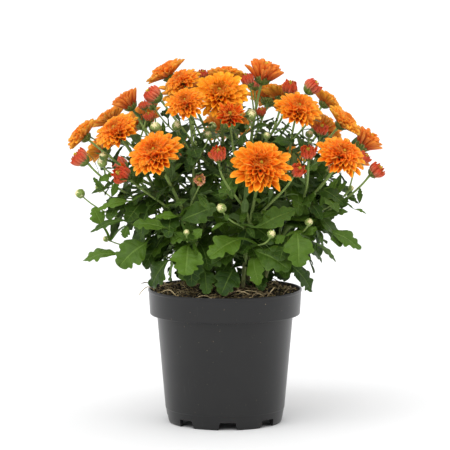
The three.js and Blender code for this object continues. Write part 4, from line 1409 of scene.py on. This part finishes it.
# The green base of each kind of head as (radius, height), from the stem up, in diameters.
CORES = {
    "flower": [
        (0, -0.23), (0.045, -0.23), (0.085, -0.2), (0.12, -0.15), (0.125, -0.12), (0.07, -0.07), (0, -0.05),
    ],
    "half_open": [
        (0, -0.465), (0.07, -0.46), (0.17, -0.41), (0.21, -0.34), (0.17, -0.22), (0.08, -0.08), (0, -0.04),
    ],
    "bud": [(0, -0.63), (0.1, -0.62), (0.26, -0.55), (0.31, -0.42), (0.27, -0.2), (0.12, -0.04), (0, 0.0)],
    "green": [(0, -0.5), (0.14, -0.48), (0.34, -0.36), (0.43, -0.1), (0.38, 0.14), (0.26, 0.28), (0, 0.33)],
}
# The whorls of its bracts, and last those of a green bud's cream tips.
BRACTS = {
    "flower": [whorl(28, (0.045, 0.105), (-0.23, -0.175), (18, 40), (0.09, 0.1), (0.06, 0.07), first=0)],
    "half_open": [whorl(32, (0.07, 0.19), (-0.46, -0.39), (20, 60), (0.16, 0.2), (0.1, 0.12), first=0)],
    "bud": [whorl(26, (0.1, 0.32), (-0.63, -0.5), (26, 70), (0.3, 0.34), (0.22, 0.24), first=0)],
    "green": [
        whorl(22, (0.12, 0.43), (-0.49, -0.28), (32, 80), (0.38, 0.29), (0.34, 0.34), first=0),
        whorl(34, (0.41, 0.04), (0.05, 0.37, 0.4), (108, 172, 0.6), (0.32, 0.2), (0.16, 0.1), first=1,
              variants=1, eye=1.0),
    ],
}
CORE = whorl(1, (0, 0), (0, 0), (0, 0), (1, 1), (1, 1), (0, 0), first=3, variants=1, loose=0.0)
bracts_of, calyx_trees = {}, {}
for kind, profile in CORES.items():
    core = mesh_object(f"m_core_{kind}", *turned(profile, 20))
    core.data.attributes.new("along", "FLOAT", "POINT")  # 0 all over, as at the foot of a bract
    bracts_of[kind] = template_group(f"bracts_{kind}", [
        petal(f"a_bract_{kind}_{i}", bend, channel, BRACT, thick=0.03, sides=THREE)
        for i, (bend, channel) in enumerate(((12, 0.7), (22, 0.8), (4, 0.6)))
    ] + [core])
    calyx_trees[kind] = head_tree(f"{kind}_calyx", CORE, *BRACTS[kind])

cup = Finish("green_bract", Roughness=0.55, Specular_IOR_Level=0.3)
along, across, tint = cup.mark("along"), cup.mark("across"), cup.mark("tint")
spots = cup.noise(cup.object_place(), 900.0, 3.0)
leafy = cup.layered(
    cup.mixed(spots.step(0.35, 0.7), (0.075, 0.12, 0.015), (0.15, 0.215, 0.03)),
    (tint * 0.3, (0.26, 0.34, 0.09)),
    ((across + along * 0.4).step(0.6, 1.3) * 0.8, (0.5, 0.46, 0.16)),
    (along.step(0.8, 1.0) * 0.5, (0.25, 0.16, 0.05)),
)
cup.feed(Base_Color=leafy)
cup.bump(spots, 0.0003, 0.6)

young_bract = Finish("young_bud_bract", Roughness=0.55, Specular_IOR_Level=0.3)
along, across, tint = (young_bract.mark(mark) for mark in ("along", "across", "tint"))
spots = young_bract.noise(young_bract.object_place(), 900.0, 3.0)
pale = young_bract.layered(
    young_bract.mixed(spots.step(0.35, 0.7), (0.12, 0.19, 0.03), (0.22, 0.3, 0.065)),
    ((across + along * 0.5).step(0.5, 1.2) * 0.95, (0.86, 0.82, 0.5)),
    (tint * 0.3, (0.42, 0.5, 0.18)),
)
young_bract.feed(Base_Color=pale)
young_bract.bump(spots, 0.0003, 0.6)

cream = Finish("cream_bud_tip", Roughness=0.6, Specular_IOR_Level=0.3)
cream.feed(Base_Color=cream.layered(
    cream.mixed(cream.mark("along").step(0.1, 0.7), (0.48, 0.48, 0.16), (0.86, 0.8, 0.45)),
    (cream.mark("across").step(0.5, 1.0) * 0.7, (0.55, 0.2, 0.12)),
    (cream.mark("tint").step(0.75, 1.0) * 0.4, (0.5, 0.2, 0.1)),
))
cream.bump(cream.noise(cream.object_place(), 1500.0, 2.0), 0.0002, 0.5)

HEAD_TREES = {"flower": flower_tree, "half_open": half_open_tree, "bud": bud_tree}
RED_SHARE = {"flower": 0.0, "half_open": 0.5, "bud": 1.0}  # from an open flower's colours to a bud's
SPREADS = {"flower": 0, "half_open": -6, "bud": 0}  # degrees that the outer florets stand up or lie down
SIDEWAYS, MORE_CUP = 60, 12  # beyond that bearing an open flower is cupped by so many degrees more
GOLDEN = {"flower_09": 0.75, "flower_01": 0.3}  # how golden these two are
OPENING_SIZE, OPENING_GOLD = 0.95, 0.6


def grow_head(kind, name, middle, across, lean, bearing, seed, *nodes, tree=None, gold=None):
    """The petals and the green cup of one head, or the whole of a green bud."""
    turn = Vector((0, 0, 1)).rotation_difference(head_facing(kind, lean, bearing)).to_matrix().to_4x4()
    values = dict(Across=across * MM, Cup=0.0, Seed=seed * 20, Warmth=0.0, Gold=0.0)

    def grown(tree, part, slot_name, *nodes, **more):
        host = object_of(name + part, bpy.data.meshes.new(name + part))
        made = tree.grow(host, **{**values, **more})
        made.data.transform(Matrix.Translation(Vector(middle) * MM) @ turn)
        hand_over(made, slot_name, *nodes)

    if kind == "green":
        grown(calyx_trees[kind], "", "leaf", Templates=bracts_of[kind], Petals=young_bract.material,
              Eye=cream.material)
        return
    more_cup = MORE_CUP if kind == "flower" and abs(bearing) > SIDEWAYS else 0
    grown(
        tree or HEAD_TREES[kind], "_petals", kind, *nodes, Templates=florets, Petals=ray.material,
        Eye=eye.material, Cup=SPREADS[kind] + 6 * math.sin(seed * 1.9) + more_cup, Warmth=RED_SHARE[kind],
        Gold=gold or GOLDEN.get(name, 0.2 + 0.2 * math.sin(seed * 2.7)),
    )
    grown(calyx_trees[kind], "_calyx", "leaf", Templates=bracts_of[kind], Petals=cup.material,
          Eye=cup.material)


counts = {kind: 0 for kind in SEATS}
seed = 0
for _, heads in STEMS:
    for kind, middle, across, lean, bearing, *_ in heads:
        seed += 1
        if kind == "green":
            grow_head(kind, f"green_bud_{seed:02}", middle, across, lean, bearing, seed)
        elif kind == "opening":
            grow_head(
                "bud", f"opening_bud_{seed:02}", middle, OPENING_SIZE * across, lean, bearing, seed,
                tree=opening_tree, gold=OPENING_GOLD,
            )
        else:
            counts[kind] += 1
            name = f"{kind}_{counts[kind]:02}"
            grow_head(kind, name, middle, across, lean, bearing, seed, name)

# Small buds on twigs of their own between the larger heads: kind, middle, diameter, lean and bearing.
SIDE_BUDS = [
    ("bud", (-63, -20, 250), 7.5, 12, -60), ("bud", (-58, -28, 242), 8.5, 16, -30),
    ("green", (-37, -30, 236), 7.0, 15, -20), ("bud", (17, -8, 269), 11.5, 10, -60),
    ("bud", (74, -38, 233), 10.5, 16, 20), ("bud", (107, -30, 210), 10.5, 36, 60),
    ("bud", (-17, 8, 272), 8.0, 10, 0), ("green", (20, -18, 243), 9.5, 14, 20),
    ("bud", (28, -10, 244), 7.5, 12, 0), ("green", (-13, -30, 228), 7.0, 20, -10),
    ("green", (-93, -40, 212), 8.5, 20, -30), ("bud", (24, 40, 262), 9.0, 12, 160),
    ("bud", (-58, 44, 246), 9.0, 24, -140), ("green", (62, 46, 238), 8.5, 22, 130),
    ("green", (-10, 72, 226), 8.0, 30, -170), ("bud", (66, 74, 208), 9.0, 34, 145),
]
TWIG_BACK, TWIG_DOWN = 16, 14  # a twig leaves the shoot nearest to a spot this far behind and below its bud
FIRST_SIDE_SEED = 80
for number, (kind, *place) in enumerate(SIDE_BUDS, start=1):
    end, facing = shoot_end(kind, *place)
    parent, along = nearest_shoot(end - facing * TWIG_BACK - Vector((0, 0, TWIG_DOWN)))
    twig = stem_points(side_shoot(parent, along, end, facing), TWIG_RADII, 18)
    hand_over(stem_of(f"side_bud_{number:02}_twig", [twig]), "stem")
    grow_head(kind, f"side_bud_{number:02}", *place, FIRST_SIDE_SEED + number)


# ---- Studio -------------------------------------------------------------------------------------
# A pale floor that curves up into a pale wall, under soft light from all round and two large soft lamps, one
# in front and a weaker one above. The camera looks from in front, a little above the middle of the plant.

FLOOR_REACH = 5.0
HALF_WIDTH = 6.0
CURVE = 1.2  # radius
sweep = [(y, 0.0) for y in np.linspace(-FLOOR_REACH, FLOOR_REACH, 21)]
sweep += [
    (FLOOR_REACH + CURVE * math.sin(t), CURVE - CURVE * math.cos(t))
    for t in np.linspace(0.12, math.pi / 2, 12)
]
sweep += [(FLOOR_REACH + CURVE, z) for z in (1.8, 2.6, 3.6)]
points = [(x, y, z) for y, z in sweep for x in (-HALF_WIDTH, HALF_WIDTH)]
faces = [[2 * i, 2 * i + 1, 2 * i + 3, 2 * i + 2] for i in range(len(sweep) - 1)]
backdrop = mesh_object("studio_sweep", points, faces)
paper = Finish("pale_studio_paper", Roughness=0.85)
soft = paper.noise(paper.object_place(), 2.0, 2.0)
paper.feed(Base_Color=paper.mixed(soft, (0.690, 0.692, 0.695), (0.702, 0.704, 0.707)))
backdrop.data.materials.append(paper.material)

world = bpy.data.worlds.new("studio_light")
bpy.context.scene.world = world
world.use_nodes = True
room = Nodes(world.node_tree)
# white on all sides, and dimmer in front, where the lamp is
look = room.add("ShaderNodeTexCoord", out="Generated")
ahead = room.add(
    "ShaderNodeVectorMath", {"operation": "DOT_PRODUCT"}, {0: look, 1: (0.0, -1.0, 0.0)}, out="Value"
)
dim = room.add(
    "ShaderNodeMapRange", {},
    {"Value": ahead, "From Min": 0.3, "From Max": 1.0, "To Min": 0.95, "To Max": 0.5},
)
background = world.node_tree.nodes["Background"]
background.inputs["Color"].default_value = (1, 1, 1, 1)
world.node_tree.links.new(dim.socket, background.inputs["Strength"])


def soft_sun(name, source, strength, spread):
    """A lamp that shines from there to the plant. Its spread is in degrees."""
    lamp = bpy.data.lights.new(name, "SUN")
    lamp.energy, lamp.angle = strength, math.radians(spread)
    object_of(name, lamp).rotation_euler = Vector(source).to_track_quat("Z", "Y").to_euler()


soft_sun("front_light", (-0.5, -1.2, 1.5), 2.25, 60)
soft_sun("top_light", (0.3, 0.2, 1.5), 0.9, 80)

CAMERA_PLACE, CAMERA_AIM = Vector((0, -2.4, 0.432)), Vector((0, 0, 0.1545))
lens = bpy.data.cameras.new("camera")
lens.sensor_width, lens.lens = 36.0, 247.98
lens.clip_start, lens.clip_end = 0.1, 50
camera = object_of("camera", lens)
camera.location = CAMERA_PLACE
camera.rotation_euler = (CAMERA_AIM - CAMERA_PLACE).to_track_quat("-Z", "Y").to_euler()
bpy.context.scene.camera = camera
bpy.context.scene.view_settings.view_transform = "Standard"
